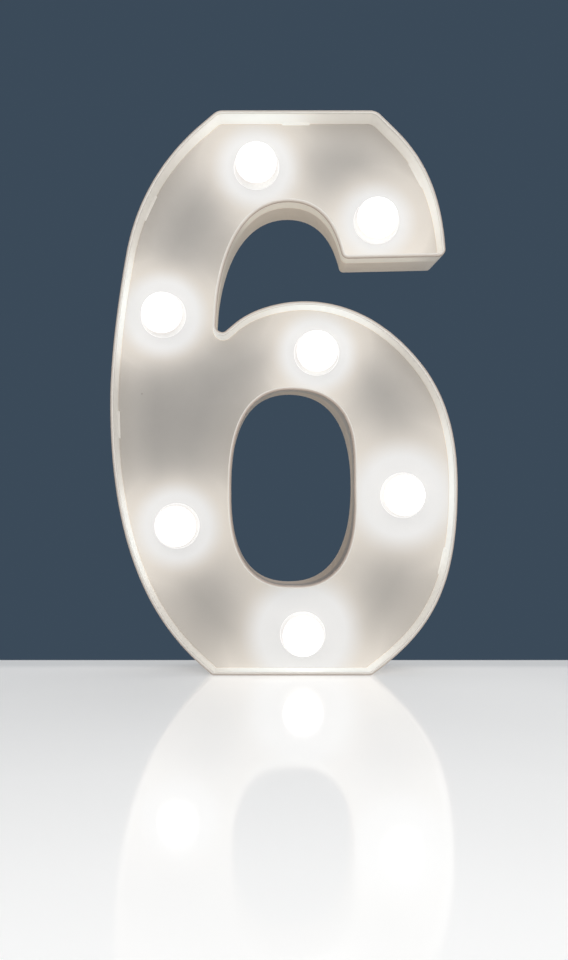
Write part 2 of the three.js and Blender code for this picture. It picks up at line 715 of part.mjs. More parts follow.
function ledSolid() {
  const flangeBack = LIP_BACK_Y - PANEL_FRONT_Y;
  const flangeFront = flangeBack - LED_FLANGE_THICKNESS;
  const radius = LED_DIAMETER / 2;
  const domeY = flangeBack - LED_LENGTH + radius;
  const body = solidOf(
    turned(
      [
        ...quarterRound(radius, -radius, domeY, DOME_STEPS).toReversed(),
        [radius, domeY],
        [radius, flangeFront],
        [LED_FLANGE_DIAMETER / 2, flangeFront],
        [LED_FLANGE_DIAMETER / 2, flangeBack],
        [0, flangeBack],
      ],
      SMALL_SIDES,
    ),
  );
  const legs = [-1, 1].map((side) =>
    blockAt(
      new THREE.Vector2((side * LEG_PITCH) / 2, 0),
      LEG_WIDTH,
      LEG_WIDTH,
      flangeBack - SINK_IN,
      LEG_BACK_Y - PANEL_FRONT_Y,
    ),
  );
  return joined([body, ...legs]);
}

// The LEDs in the order of the wires, each with the direction in which the wires pass it.
const LAMPS = BULBS.map((here, i) => {
  const into = here.clone().sub(BULBS[i - 1] ?? here).normalize();
  const outOf = (BULBS[i + 1] ?? here).clone().sub(here).normalize();
  return { place: here, axis: into.add(outOf).normalize() };
});

// The LED that the leads feed: the nearest to the switch.
const FED_LAMP = LAMPS.reduce((best, lamp) =>
  lamp.place.distanceTo(SWITCH) < best.place.distanceTo(SWITCH) ? lamp : best,
);

// A twin wire in the plane of the LEDs' legs, from one LED to the next.
function twinWireGeometry(from, to) {
  const clearOfLegs = LEG_WIDTH / 2 + FIT;
  const start = from.place.clone().addScaledVector(from.axis, clearOfLegs);
  const end = to.place.clone().addScaledVector(to.axis, -clearOfLegs);
  const reach = start.distanceTo(end) / 3;
  const first = start.clone().addScaledVector(from.axis, reach);
  const second = end.clone().addScaledVector(to.axis, -reach);
  const path = new THREE.CubicBezierCurve3(
    ...[start, first, second, end].map((point) => new THREE.Vector3(point.x, TWIN_Y, point.y)),
  );
  const half = TWIN_THICKNESS / 2;
  const flat = TWIN_WIDTH / 2 - half;
  const section = new THREE.Shape();
  section.absarc(0, flat, half, 0, Math.PI);
  section.absarc(0, -flat, half, Math.PI, 2 * Math.PI);
  return new THREE.ExtrudeGeometry(section, {
    steps: WIRE_STEPS,
    curveSegments: TWIN_END_STEPS,
    extrudePath: path,
    bevelEnabled: false,
  });
}

// Leads: single round wires through a few places

function roundSection(diameter, sides) {
  const corners = Array.from({ length: sides }, (_, i) => {
    const angle = (2 * Math.PI * i) / sides;
    return new THREE.Vector2(Math.cos(angle), Math.sin(angle)).multiplyScalar(diameter / 2);
  });
  return new THREE.Shape(corners);
}

function leadGeometry(places) {
  const path = new THREE.CatmullRomCurve3(places.map((place) => new THREE.Vector3(...place)));
  return new THREE.ExtrudeGeometry(roundSection(LEAD_DIAMETER, WIRE_SIDES), {
    steps: 2 * WIRE_STEPS,
    extrudePath: path,
    bevelEnabled: false,
  });
}

const LEAD_GAP = LEAD_DIAMETER / 2 + FIT;
const PIN_TIP_Y = SWITCH_FRONT_Y - PIN_LENGTH;
const PIN_LEAD_Y = PIN_TIP_Y + LEAD_GAP;
const PIN_LEAD_Z = SWITCH.y - PIN_THICKNESS / 2 - FIT;
const CONTACT_TAB_Y = WELL_FRONT_Y - CONTACT_TAB_LENGTH;
const CONTACT_LEAD_Y = WELL_FRONT_Y - LEAD_GAP;
const CONTACT_LEAD_Z = WELL_TOP_Z;

// From the left-hand contact's tab to the switch's middle pin.
function batteryLead() {
  const { x } = CELLS[0];
  return leadGeometry([
    [x, CONTACT_LEAD_Y, CONTACT_LEAD_Z],
    [x, CONTACT_LEAD_Y, CONTACT_LEAD_Z + LEAD_STRAIGHT],
    [x + LEAD_DIAMETER, PIN_LEAD_Y - LEAD_DIAMETER, (CONTACT_LEAD_Z + PIN_LEAD_Z) / 2],
    [SWITCH.x, PIN_LEAD_Y, PIN_LEAD_Z - LEAD_STRAIGHT],
    [SWITCH.x, PIN_LEAD_Y, PIN_LEAD_Z],
  ]);
}

// The end of a lead beside one leg of the fed LED, and a place further out in the same line.
function fedLegEnd(side) {
  const { place, axis } = FED_LAMP;
  const outward = new THREE.Vector2(axis.y, -axis.x).multiplyScalar(side);
  const end = place.clone().addScaledVector(outward, LEG_PITCH / 2 + LEG_WIDTH / 2 + FIT);
  const before = end.clone().addScaledVector(outward, LEAD_STRAIGHT);
  return [before, end].map((point) => [point.x, TWIN_Y, point.y]);
}

// From the switch's left-hand pin to the fed LED.
function switchLead() {
  const [before, end] = fedLegEnd(1);
  const pinX = SWITCH.x - PIN_PITCH;
  return leadGeometry([
    [pinX, PIN_LEAD_Y, PIN_LEAD_Z],
    [pinX, PIN_LEAD_Y, PIN_LEAD_Z - LEAD_STRAIGHT],
    [(pinX + before[0]) / 2, (PIN_LEAD_Y + before[1]) / 2, (PIN_LEAD_Z + before[2]) / 2],
    before,
    end,
  ]);
}

// From the right-hand contact's tab to the fed LED.
function returnLead() {
  const [before, end] = fedLegEnd(-1);
  const { x } = CELLS[1];
  return leadGeometry([
    [x, CONTACT_LEAD_Y, CONTACT_LEAD_Z],
    [x, CONTACT_LEAD_Y, CONTACT_LEAD_Z + LEAD_STRAIGHT],
    [(x + before[0]) / 2, (CONTACT_LEAD_Y + before[1]) / 2, before[2] + LEAD_DIAMETER],
    before,
    end,
  ]);
}

// The cells and their contacts

function cellGeometry() {
  const radius = CELL_DIAMETER / 2;
  const half = CELL_LENGTH / 2;
  const shoulder = half - CELL_BUTTON_LENGTH;
  return turned(
    [
      [0, -half],
      [radius - CELL_EDGE, -half],
      [radius, -half + CELL_EDGE],
      [radius, shoulder - CELL_EDGE],
      [radius - CELL_EDGE, shoulder],
      [CELL_BUTTON_DIAMETER / 2, shoulder],
      [CELL_BUTTON_DIAMETER / 2, half],
      [0, half],
    ],
    CAP_SIDES,
  );
}

// The middle of a cell that presses its flat end on a spring.
function cellMiddleZ(buttonUp) {
  const shift = (SPRING_LENGTH - DIMPLE_HEIGHT) / 2;
  return WELL.y + (buttonUp ? shift : -shift);
}

class SpringPath extends THREE.Curve {
  getPoint(t, target = new THREE.Vector3()) {
    const angle = 2 * Math.PI * SPRING_CURLS * t;
    const radius = THREE.MathUtils.lerp(SPRING_BASE_DIAMETER, SPRING_TIP_DIAMETER, t) / 2 - SPRING_WIRE / 2;
    const low = SPRING_WIRE / 2 - SINK_IN;
    const high = SPRING_LENGTH - SPRING_WIRE / 2;
    const height = THREE.MathUtils.lerp(low, high, t);
    return target.set(radius * Math.cos(angle), radius * Math.sin(angle), height);
  }
}

// A spring that stands on z = 0 and points up.
function springSolid() {
  const steps = Math.round(SPRING_CURLS * CURL_STEPS);
  const geometry = new THREE.ExtrudeGeometry(roundSection(SPRING_WIRE, CURL_SIDES), {
    steps,
    extrudePath: new SpringPath(),
    bevelEnabled: false,
  });
  return solidOf(geometry);
}

function leastSpringGap() {
  const path = new SpringPath();
  const steps = SPRING_CURLS * CURL_STEPS;
  const points = Array.from({ length: steps + 1 }, (_, i) => path.getPoint(i / steps));
  const apart = CURL_STEPS / 2 + 1;
  const spans = points.flatMap((a, i) => points.slice(i + apart).map((b) => a.distanceTo(b)));
  return Math.min(...spans) - SPRING_WIRE;
}

function dimpleSolid() {
  const geometry = new THREE.CylinderGeometry(
    DIMPLE_TOP_DIAMETER / 2,
    DIMPLE_DIAMETER / 2,
    DIMPLE_HEIGHT + SINK_IN,
    SMALL_SIDES,
  );
  geometry.rotateX(Math.PI / 2);
  geometry.translate(0, 0, (DIMPLE_HEIGHT - SINK_IN) / 2);
  return solidOf(geometry);
}

// A contact plate with its face at z = 0, across the cells at the given places along X.
function contactPlate(length, hasTab) {
  const low = WELL_FLOOR_Y + FIT - CELL_Y;
  const high = LEDGE_Y - CONTACT_TOP_GAP - CELL_Y;
  const plate = boxBetween([-length / 2, low, -CONTACT_THICKNESS], [length / 2, high, 0]);
  if (!hasTab) return plate;
  const tab = boxBetween(
    [-CONTACT_TAB_WIDTH / 2, CONTACT_TAB_Y - CELL_Y, -CONTACT_THICKNESS],
    [CONTACT_TAB_WIDTH / 2, low + SINK_IN, 0],
  );
  return plate.add(tab);
}

function bridgeSolid() {
  const plate = contactPlate(CELL_PITCH + CONTACT_WIDTH, false);
  const spring = springSolid().translate([-CELL_PITCH / 2, 0, 0]);
  return joined([plate, spring, dimpleSolid().translate([CELL_PITCH / 2, 0, 0])]);
}

// The compartment's door

function batteryDoor() {
  const plate = blockAt(WELL, DOOR_WIDTH, DOOR_LENGTH, DOOR_INNER_Y, DOOR_OUTER_Y);
  const tabs = tabXs().map((x) =>
    joined([
      boxBetween(
        [x - TAB_WIDTH / 2, TAB_INNER_Y, DOOR_BOTTOM_Z - TAB_REACH],
        [x + TAB_WIDTH / 2, TAB_OUTER_Y, DOOR_BOTTOM_Z + TAB_REACH],
      ),
      boxBetween(
        [x - TAB_WIDTH / 2, TAB_INNER_Y, DOOR_BOTTOM_Z],
        [x + TAB_WIDTH / 2, DOOR_INNER_Y + SINK_IN, DOOR_BOTTOM_Z + TAB_REACH],
      ),
    ]),
  );
  const slits = [-1, 1].map((side) => {
    const middle = WELL.x + (side * (LATCH_WIDTH + LATCH_SLIT)) / 2;
    return boxBetween(
      [middle - LATCH_SLIT / 2, DOOR_INNER_Y - OVERRUN, DOOR_TOP_Z - LATCH_LENGTH],
      [middle + LATCH_SLIT / 2, DOOR_OUTER_Y + OVERRUN, DOOR_TOP_Z + OVERRUN],
    );
  });
  const grooves = Array.from({ length: GRIP_GROOVES }, (_, i) => {
    const z = DOOR_TOP_Z - (i + 1) * GRIP_PITCH;
    return blockAt(
      new THREE.Vector2(WELL.x, z),
      LATCH_WIDTH - 2 * GRIP_WIDTH,
      GRIP_WIDTH,
      DOOR_OUTER_Y - GRIP_DEPTH,
      DOOR_OUTER_Y + OVERRUN,
    );
  });
  return joined([plate, ...tabs]).subtract(joined([...slits, ...grooves]));
}

// The switch

function switchBody() {
  const plateLength = SCREW_SPACING + BOSS_DIAMETER;
  const plate = blockAt(SWITCH, plateLength, SWITCH_WIDTH, SWITCH_BODY_Y, SWITCH_PLATE_Y);
  const body = blockAt(SWITCH, SWITCH_LENGTH, SWITCH_WIDTH, SWITCH_FRONT_Y, SWITCH_BODY_Y + SINK_IN);
  const pins = [-1, 0, 1].map((side) =>
    blockAt(
      new THREE.Vector2(SWITCH.x + side * PIN_PITCH, SWITCH.y),
      PIN_WIDTH,
      PIN_THICKNESS,
      PIN_TIP_Y,
      SWITCH_FRONT_Y + SINK_IN,
    ),
  );
  const chamber = blockAt(
    SWITCH,
    CARRIAGE_LENGTH + SWITCH_TRAVEL + 2 * FIT,
    CARRIAGE_WIDTH + 2 * FIT,
    SWITCH_BODY_Y - CARRIAGE_THICKNESS - 2 * FIT,
    SWITCH_BODY_Y,
  );
  const holes = screwPlaces().map((place) =>
    barAt(place, SCREW_DIAMETER + 2 * FIT, SWITCH_BODY_Y - OVERRUN, SWITCH_PLATE_Y + OVERRUN, SMALL_SIDES),
  );
  const slot = knobSlot(SWITCH_BODY_Y - SINK_IN, SWITCH_PLATE_Y + OVERRUN);
  return joined([plate, body, ...pins]).subtract(joined([chamber, slot, ...holes]));
}

// The slider in the position that lights the bulbs, at the left end of its travel as seen from the front.
function switchSlider() {
  const place = SWITCH.clone().sub(new THREE.Vector2(SWITCH_TRAVEL / 2, 0));
  const top = SWITCH_BODY_Y - FIT;
  const carriage = blockAt(place, CARRIAGE_LENGTH, CARRIAGE_WIDTH, top - CARRIAGE_THICKNESS, top);
  const knob = blockAt(place, KNOB_LENGTH, KNOB_WIDTH, top - SINK_IN, BACK_Y - KNOB_SINK);
  return carriage.add(knob);
}

// A pan head screw whose head presses on the switch's plate.
function switchScrew(place) {
  const seatY = SWITCH_BODY_Y - FIT;
  const headY = seatY - SCREW_HEAD_HEIGHT;
  const head = barAt(place, SCREW_HEAD_DIAMETER, headY, seatY, SMALL_SIDES);
  const shank = barAt(place, SCREW_DIAMETER, seatY - SINK_IN, SWITCH_BODY_Y + SCREW_LENGTH, SMALL_SIDES);
  const slotReach = SCREW_HEAD_DIAMETER - 2 * SCREW_SLOT_WIDTH;
  const slotBottom = headY + SCREW_HEAD_HEIGHT / 2;
  const across = blockAt(place, slotReach, SCREW_SLOT_WIDTH, headY - OVERRUN, slotBottom);
  const along = blockAt(place, SCREW_SLOT_WIDTH, slotReach, headY - OVERRUN, slotBottom);
  return head.add(shank).subtract(across.add(along));
}

// The assembly

const light = new THREE.Group();

function addPiece(name, geometry, material, parent = light) {
  const mesh = new THREE.Mesh(geometry, material);
  mesh.name = name;
  parent.add(mesh);
  return mesh;
}

addPiece("housing_shell", geometryOf(housingShell()), MATERIALS.shell);
addPiece("face_panel", geometryOf(facePanel()), MATERIALS.panel);

LAMPS.forEach(({ place, axis }, i) => {
  const number = i + 1;
  const unit = new THREE.Group();
  unit.position.set(place.x, PANEL_FRONT_Y, place.y);
  addPiece(`bulb_cap_${number}`, capGeometry(), MATERIALS.frosted, unit);
  addPiece(`led_holder_${number}`, holderGeometry(), MATERIALS.holder, unit);
  const led = addPiece(`led_${number}`, geometryOf(ledSolid()), MATERIALS.led, unit);
  led.rotation.y = Math.atan2(axis.x, axis.y);
  light.add(unit);
});

LAMPS.slice(1).forEach((lamp, i) => {
  addPiece(`string_wire_${i + 1}`, twinWireGeometry(LAMPS[i], lamp), MATERIALS.whiteWire);
});
addPiece("battery_lead", batteryLead(), MATERIALS.redWire);
addPiece("switch_lead", switchLead(), MATERIALS.redWire);
addPiece("return_lead", returnLead(), MATERIALS.blackWire);

CELLS.forEach(({ x, buttonUp }, i) => {
  const cell = addPiece(`battery_${i + 1}`, cellGeometry(), MATERIALS.cell);
  cell.position.set(x, CELL_Y, cellMiddleZ(buttonUp));
  cell.rotation.x = buttonUp ? Math.PI / 2 : -Math.PI / 2;
});

const bridge = addPiece("contact_bridge", geometryOf(bridgeSolid()), MATERIALS.contact);
bridge.position.set(WELL.x, CELL_Y, WELL_BOTTOM_Z + CONTACT_STACK);
const button = contactPlate(CONTACT_WIDTH, true).add(dimpleSolid());
const positive = addPiece("positive_contact", geometryOf(button), MATERIALS.contact);
positive.position.set(CELLS[0].x, CELL_Y, WELL_TOP_Z - CONTACT_STACK);
positive.scale.z = -1;
const spring = contactPlate(CONTACT_WIDTH, true).add(springSolid());
const negative = addPiece("spring_contact", geometryOf(spring), MATERIALS.contact);
negative.position.set(CELLS[1].x, CELL_Y, WELL_TOP_Z - CONTACT_STACK);
negative.scale.z = -1;

addPiece("battery_door", geometryOf(batteryDoor()), MATERIALS.shell);
addPiece("switch_body", geometryOf(switchBody()), MATERIALS.black);
addPiece("switch_slider", geometryOf(switchSlider()), MATERIALS.black);
screwPlaces().forEach((screw, i) => {
  addPiece(`switch_screw_${i + 1}`, geometryOf(switchScrew(screw)), MATERIALS.steel);
});

console.log(`battery spring: least gap between curls ${leastSpringGap().toFixed(2)} mm`);

export default light;
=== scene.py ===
from math import acos, atan2, ceil, copysign, cos, degrees, hypot, pi, radians, sin, sqrt, tan

import bmesh
import bpy
import numpy as np
from mathutils import Matrix, Vector
from mathutils.geometry import tessellate_polygon
from numpy.linalg import norm


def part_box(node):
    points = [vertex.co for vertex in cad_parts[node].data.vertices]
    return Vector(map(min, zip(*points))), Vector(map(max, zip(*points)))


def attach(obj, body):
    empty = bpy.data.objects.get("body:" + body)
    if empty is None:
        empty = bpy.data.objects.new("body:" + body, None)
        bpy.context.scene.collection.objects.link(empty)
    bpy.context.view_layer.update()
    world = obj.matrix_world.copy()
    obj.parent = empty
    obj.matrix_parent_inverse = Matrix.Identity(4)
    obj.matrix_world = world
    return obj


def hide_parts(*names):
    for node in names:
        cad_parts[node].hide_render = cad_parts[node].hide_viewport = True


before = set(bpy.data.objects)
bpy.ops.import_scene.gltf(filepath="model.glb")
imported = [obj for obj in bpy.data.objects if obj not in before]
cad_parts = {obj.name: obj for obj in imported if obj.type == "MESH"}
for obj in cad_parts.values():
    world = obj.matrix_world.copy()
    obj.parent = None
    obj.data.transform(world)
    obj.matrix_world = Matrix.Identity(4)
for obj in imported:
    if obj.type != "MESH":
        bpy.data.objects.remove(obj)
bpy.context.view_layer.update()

# The digit, its walls and its rim
TOP_CORNER_RADIUS = 0.006
HOOK_CORNER_RADIUS = 0.003
BASE_CORNER_RADIUS = 0.0028
NOTCH_RADIUS = 0.0024
WALL = 0.0013
BACK_INSET = 0.0012
OVAL_FLARES = [(0.0018, 1), (0.0017, 0.7)]
NO_FLARE = (0, 1)
BACK_THICKNESS = 0.0016
LIP_INNER_ROUND = 0.0002
LIP_OUTER_ROUND = 0.0011
RIM_ROUND = 0.0005
BACK_EDGE_ROUND = 0.0009
RIB_THICKNESS = 0.0012
RIB_REACH = 0.003
LUG_LENGTH = 0.012
LUG_HEIGHT = 0.0007
LUG_DEPTH = 0.0024

# The bulb caps
CAP_BASE_DIAMETER = 0.0176
CAP_SHOULDER_DIAMETER = 0.0158
CAP_SHOULDER_HEIGHT = 0.0083
CAP_HEIGHT = 0.012
CAP_WALL = 0.0012
CAP_FLANGE_THICKNESS = 0.0012

# The cells, their contacts and their compartment
CELL_DIAMETER = 0.0145
CELL_END_DIAMETER = 0.0112
CELL_BUTTON_DIAMETER = 0.0055
CELL_BUTTON_LENGTH = 0.001
CELL_EDGE = 0.0006
JACKET_THICKNESS = 0.00015
MARK_LENGTH = 0.0032
MARK_WIDTH = 0.0008
MARK_HEIGHT = 0.00004
PLUS_PLACE = 0.0176
MINUS_PLACE = 0.0064
CONTACT_THICKNESS = 0.0004
CONTACT_WIDTH = 0.011
CONTACT_TOP_GAP = 0.003
CONTACT_TAB_WIDTH = 0.003
CONTACT_TAB_LENGTH = 0.0014
DIMPLE_DIAMETER = 0.005
DIMPLE_TOP_DIAMETER = 0.0025
DIMPLE_HEIGHT = 0.001
SPRING_LENGTH = 0.005
SPRING_WIRE = 0.0007
SPRING_BASE_DIAMETER = 0.0092
SPRING_TIP_DIAMETER = 0.0052
SPRING_CURLS = 3.5
WELL_WALL = 0.0012
DIVIDER_THICKNESS = 0.0016
DIVIDER_HEIGHT = 0.003

# The compartment's door
DOOR_THICKNESS = 0.0016
DOOR_LEDGE = 0.001
DOOR_CORNER = 0.0012
TAB_WIDTH = 0.004
TAB_THICKNESS = 0.001
TAB_REACH = 0.0015
TAB_SPREAD = 0.02
LATCH_WIDTH = 0.009
LATCH_LENGTH = 0.008
LATCH_SLIT = 0.0008
GRIP_GROOVES = 3
GRIP_PITCH = 0.002
GRIP_WIDTH = 0.0009
GRIP_DEPTH = 0.0005
ARROW_WIDTH = 0.005
ARROW_HEIGHT = 0.0035
ARROW_PLACE = 0.012
MARK_DEPTH = 0.0003

# The slide switch, its words and the hole that the light hangs by
POCKET_LENGTH = 0.0136
POCKET_WIDTH = 0.0086
POCKET_DEPTH = 0.0034
SWITCH_TRAVEL = 0.003
CARRIAGE_LENGTH = 0.006
CARRIAGE_WIDTH = 0.0036
CARRIAGE_THICKNESS = 0.0019
KNOB_LENGTH = 0.0036
KNOB_WIDTH = 0.0024
KNOB_RIDGES = 4
RIDGE_WIDTH = 0.0004
RIDGE_HEIGHT = 0.0003
SCREW_SPACING = 0.0214
BOSS_DIAMETER = 0.0048
WORD_FIELD_LENGTH = 0.024
WORD_FIELD_WIDTH = 0.0052
WORD_FIELD_GAP = 0.0022
WORD_HEIGHT = 0.003
WORD_SPREAD = 0.013
LETTER_BODY_SHARE = 0.7
KEYHOLE_DIAMETER = 0.008
KEYHOLE_SLOT_WIDTH = 0.004
KEYHOLE_SLOT_LENGTH = 0.008

# The wires
TWIN_THICKNESS = 0.0012
LEAD_DIAMETER = 0.0014
LEAD_STRAIGHT = 0.0028
LEG_WIDTH = 0.0005
LEG_PITCH = 0.00254
PIN_PITCH = 0.004
PIN_THICKNESS = 0.0005

# Clearances, soft edges, depths of grain, and how finely round shapes are divided
FIT = 0.0003
OVERLAP = 0.0002
SOFT_EDGE = 0.00025
FINE_EDGE = 0.0001
PLASTIC_GRAIN_DEPTH = 0.00003
FILM_GRAIN_DEPTH = 0.00002
SCRATCH_DEPTH = 0.00001
PANEL_GAP = 0.00006
EDGE_STEPS = 3
OUTLINE_SPACING = 0.0016
OUTLINE_TURN = 3.5
WALL_LEVELS = 6
ROUND_STEPS = 5
CORNER_STEPS = 6
CAP_SIDES = 72
CELL_SIDES = 64
SMALL_SIDES = 32
DOME_STEPS = 16
WIRE_SIDES = 14
WIRE_STEPS = 48
LEAD_STEPS = 12
CURL_STEPS = 32
TRAVEL_POINTS = 101
TURN_POINTS = 17
SMOOTH_ANGLE = 38

# The camera, in the photograph's frame
CAMERA_PLACE = (-0.00466, -0.5466, 0.0706)
CAMERA_LENS = 50.7
CAMERA_SENSOR = 36
FRAME_HEIGHT = 960
FRAME_SHIFT = (12, 14)

# The floor, the light on it, and each lamp's place, size and power
FLOOR_LENGTH = 1.1
FLOOR_FRONT_Y = -0.62
FLOOR_BACK_Y = 0.03
FLOOR_THICKNESS = 0.02
FLOOR_EDGE = 0.002
FLOOR_CORNER = 0.03
BACKDROP_COLOUR = (0.044, 0.069, 0.1)
FLOOR_LIFT = 0.28
AMBIENT_STRENGTH = 0.32
LAMPS_AT = [((-0.2, -1.1, 0.5), 0.8, 5), ((0.45, -1, 0.3), 0.8, 3.3), ((0.3, 0.8, 1.1), 1.2, 5.5)]
LAMP_TARGET = (0, 0, 0.1)

# The lamps' painted glow, emission on the panel and walls for their light through them: full out to a
# distance from each bulb's axis, then fading, further on the right below, where nothing stands behind the
# panel
GLOW_REACHES = [0.0088, 0.0104, 0.0118, 0.011, 0.0148, 0.0136, 0.0104]
GLOW_FADES = [0.0112, 0.0112, 0.0096, 0.0106, 0.0142, 0.014, 0.0096]
GLOW_POWER = -1.5
GLOW_END = 9
WALL_GLOW_REACH = 0.016
# How far back from the lip's outer rounding the painted shade on the lip fades out
LIP_SHADE_FADE = 0.00066

# Places, as shares of the width from the middle and of the height from the floor
WELL_SHARES = (-0.328, 0.4645)
SWITCH_SHARES = (-0.328, 0.691)
KEYHOLE_SHARES = (0.045, 0.925)
LUG_SHARES = [(0.033, 1), (-0.394, 0.841), (-0.491, 0.448), (0.461, 0.2), (0.396, 0.898)]
OUTER_RIB_SHARES = [
    (-0.13, 1), (0.19, 1), (0.45, 0.79), (-0.46, 0.76), (-0.49, 0.3), (-0.38, 0.12), (0, 0),
    (0.4, 0.1), (0.5, 0.4), (0.35, 0.59), (-0.04, 0.66), (0.02, 0.838), (-0.185, 0.7),
]
OVAL_RIB_SHARES = [(0.017, 0.505), (0.2, 0.333), (0.014, 0.16)]

# The rim's outer outline from the left end of the base, anticlockwise as seen from the front. A row is a
# straight line to one point, or a curve with two handles and an end, and corner rounds off its end.
OUTLINE_START_SHARE = (-0.2062, 0)
OUTLINE_SHARES = [
    {"to": [(0.2516, 0)], "corner": BASE_CORNER_RADIUS, "level": True},
    {"to": [(0.4253, 0.0767), (0.5, 0.1546), (0.5, 0.3342)]},
    {"to": [(0.5, 0.4642), (0.4329, 0.5278), (0.3691, 0.571)]},
    {"to": [(0.2786, 0.6323), (0.1723, 0.6622), (0.0589, 0.6622)]},
    {"to": [(0.0188, 0.6622), (-0.0775, 0.6569), (-0.145, 0.6215)]},
    {"to": [(-0.198, 0.5936)], "corner": NOTCH_RADIUS},
    {"to": [(-0.192, 0.6554)]},
    {"to": [(-0.1894, 0.679), (-0.1639, 0.8378), (0.0136, 0.8378)]},
    {"to": [(0.1352, 0.8378), (0.1573, 0.7636), (0.1691, 0.7373)], "corner": HOOK_CORNER_RADIUS},
    {"to": [(0.466, 0.7414)], "corner": HOOK_CORNER_RADIUS},
    {"to": [(0.4564, 0.8852), (0.3626, 0.9416), (0.3086, 0.9741)]},
    {"to": [(0.2656, 1)], "corner": TOP_CORNER_RADIUS},
    {"to": [(-0.1919, 1)], "corner": TOP_CORNER_RADIUS},
    {"to": [(-0.2422, 0.9737)]},
    {"to": [(-0.3281, 0.9288), (-0.4211, 0.8551), (-0.453, 0.7494)]},
    {"to": [(-0.4614, 0.7213), (-0.5, 0.5872), (-0.5, 0.4826)]},
    {"to": [(-0.5, 0.1736), (-0.3279, 0.0627), OUTLINE_START_SHARE], "corner": BASE_CORNER_RADIUS},
]

# The oval opening's outline from its top, clockwise. A flare widens it towards the front by its first
# value; the second is 1 where it is widest in the curve's middle, and less where that lies earlier.
OVAL_START_SHARE = (0.0168, 0.5047)
OVAL_SHARES = [
    {"to": [(0.1626, 0.5047), (0.2004, 0.4213), (0.2004, 0.3334)], "flare": OVAL_FLARES[0]},
    {"to": [(0.2004, 0.1584), (0.0552, 0.1599), (0.0138, 0.1599)], "flare": OVAL_FLARES[1]},
    {"to": [(-0.1557, 0.1599), (-0.1516, 0.2832), (-0.1516, 0.3334)]},
    {"to": [(-0.1516, 0.3799), (-0.1482, 0.5047), OVAL_START_SHARE]},
]


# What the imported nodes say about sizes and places


def numbered(prefix):
    count = sum(name.rstrip("0123456789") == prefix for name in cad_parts)
    return [f"{prefix}{i + 1}" for i in range(count)]


def middle(node):
    low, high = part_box(node)
    return (low + high) / 2


TRAY_LOW, TRAY_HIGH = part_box("housing_shell")
PANEL_LOW, PANEL_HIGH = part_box("face_panel")
DOOR_LOW, DOOR_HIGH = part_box("battery_door")
DIGIT_WIDTH = TRAY_HIGH.x - TRAY_LOW.x
DIGIT_HEIGHT = TRAY_HIGH.z
FRONT_Y = TRAY_LOW.y
BACK_Y = TRAY_HIGH.y
BACK_INNER_Y = BACK_Y - BACK_THICKNESS
PANEL_FRONT_Y = PANEL_LOW.y
PANEL_BACK_Y = PANEL_HIGH.y
DOOR_OUTER_Y = DOOR_HIGH.y
DOOR_INNER_Y = DOOR_OUTER_Y - DOOR_THICKNESS
LEDGE_Y = DOOR_INNER_Y - FIT
CELL_Y = LEDGE_Y - CELL_DIAMETER / 2
WELL_FLOOR_Y = CELL_Y - CELL_DIAMETER / 2 - FIT
WELL_FRONT_Y = WELL_FLOOR_Y - WELL_WALL
TAB_OUTER_Y = BACK_INNER_Y - FIT
TAB_INNER_Y = TAB_OUTER_Y - TAB_THICKNESS
TAB_SWING = hypot(DOOR_OUTER_Y - TAB_INNER_Y, TAB_REACH)
POCKET_FLOOR_Y = BACK_Y - POCKET_DEPTH
POCKET_INNER_Y = POCKET_FLOOR_Y - BACK_THICKNESS
SLIDER_LOW, SLIDER_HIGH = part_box("switch_slider")
PIN_TIP_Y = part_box("switch_body")[0].y
TWIN_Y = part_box("led_1")[1].y - TWIN_THICKNESS


def place_of(shares):
    return np.array([shares[0] * DIGIT_WIDTH, shares[1] * DIGIT_HEIGHT])


def face_place(node):
    return np.array([middle(node).x, middle(node).z])


WELL = place_of(WELL_SHARES)
SWITCH = place_of(SWITCH_SHARES)
BULBS = [face_place(node) for node in numbered("bulb_cap_")]
DOOR_WIDTH = DOOR_HIGH.x - DOOR_LOW.x
DOOR_TOP_Z = DOOR_HIGH.z
DOOR_LENGTH = 2 * (DOOR_TOP_Z - WELL[1])
DOOR_BOTTOM_Z = DOOR_TOP_Z - DOOR_LENGTH
WELL_WIDTH = DOOR_WIDTH - 2 * (DOOR_LEDGE - FIT)
WELL_LENGTH = DOOR_LENGTH - 2 * (DOOR_LEDGE - FIT)
WELL_TOP_Z = WELL[1] + WELL_LENGTH / 2
WELL_BOTTOM_Z = WELL[1] - WELL_LENGTH / 2
CONTACT_STACK = FIT + CONTACT_THICKNESS
CELL_XS = [middle(node).x for node in numbered("battery_")]


# Curves in the plane of the lit face: a curve is its four control points


def unit(vector):
    return vector / norm(vector)


def turn_between(a, b):
    return atan2(a[0] * b[1] - a[1] * b[0], float(a @ b))


def point_on(curve, t):
    t = np.asarray(t, float)[..., None]
    r = 1 - t
    return r**3 * curve[0] + 3 * r**2 * t * curve[1] + 3 * r * t**2 * curve[2] + t**3 * curve[3]


def slope_on(curve, t):
    t = np.asarray(t, float)[..., None]
    r = 1 - t
    legs = np.diff(curve, axis=0)
    return 3 * (r**2 * legs[0] + 2 * r * t * legs[1] + t**2 * legs[2])


def travel_along(curve):
    t = np.linspace(0, 1, TRAVEL_POINTS)
    steps = norm(np.diff(point_on(curve, t), axis=0), axis=1)
    return t, np.concatenate([[0], np.cumsum(steps)])


def stretch_of(curve, from_start, from_end):
    """The curve without a length at its start and a length at its end."""
    t, travelled = travel_along(curve)
    low = np.interp(from_start, travelled, t)
    high = np.interp(travelled[-1] - from_end, travelled, t)
    third = (high - low) / 3
    start = point_on(curve, low)
    end = point_on(curve, high)
    return np.array([start, start + third * slope_on(curve, low), end - third * slope_on(curve, high), end])


def rounding_between(start, into, end, out_of, radius):
    """The curve that rounds off a corner from start to end."""
    reach = 4 / 3 * tan(abs(turn_between(into, out_of)) / 4) * radius
    return np.array([start, start + reach * into, end - reach * out_of, end])


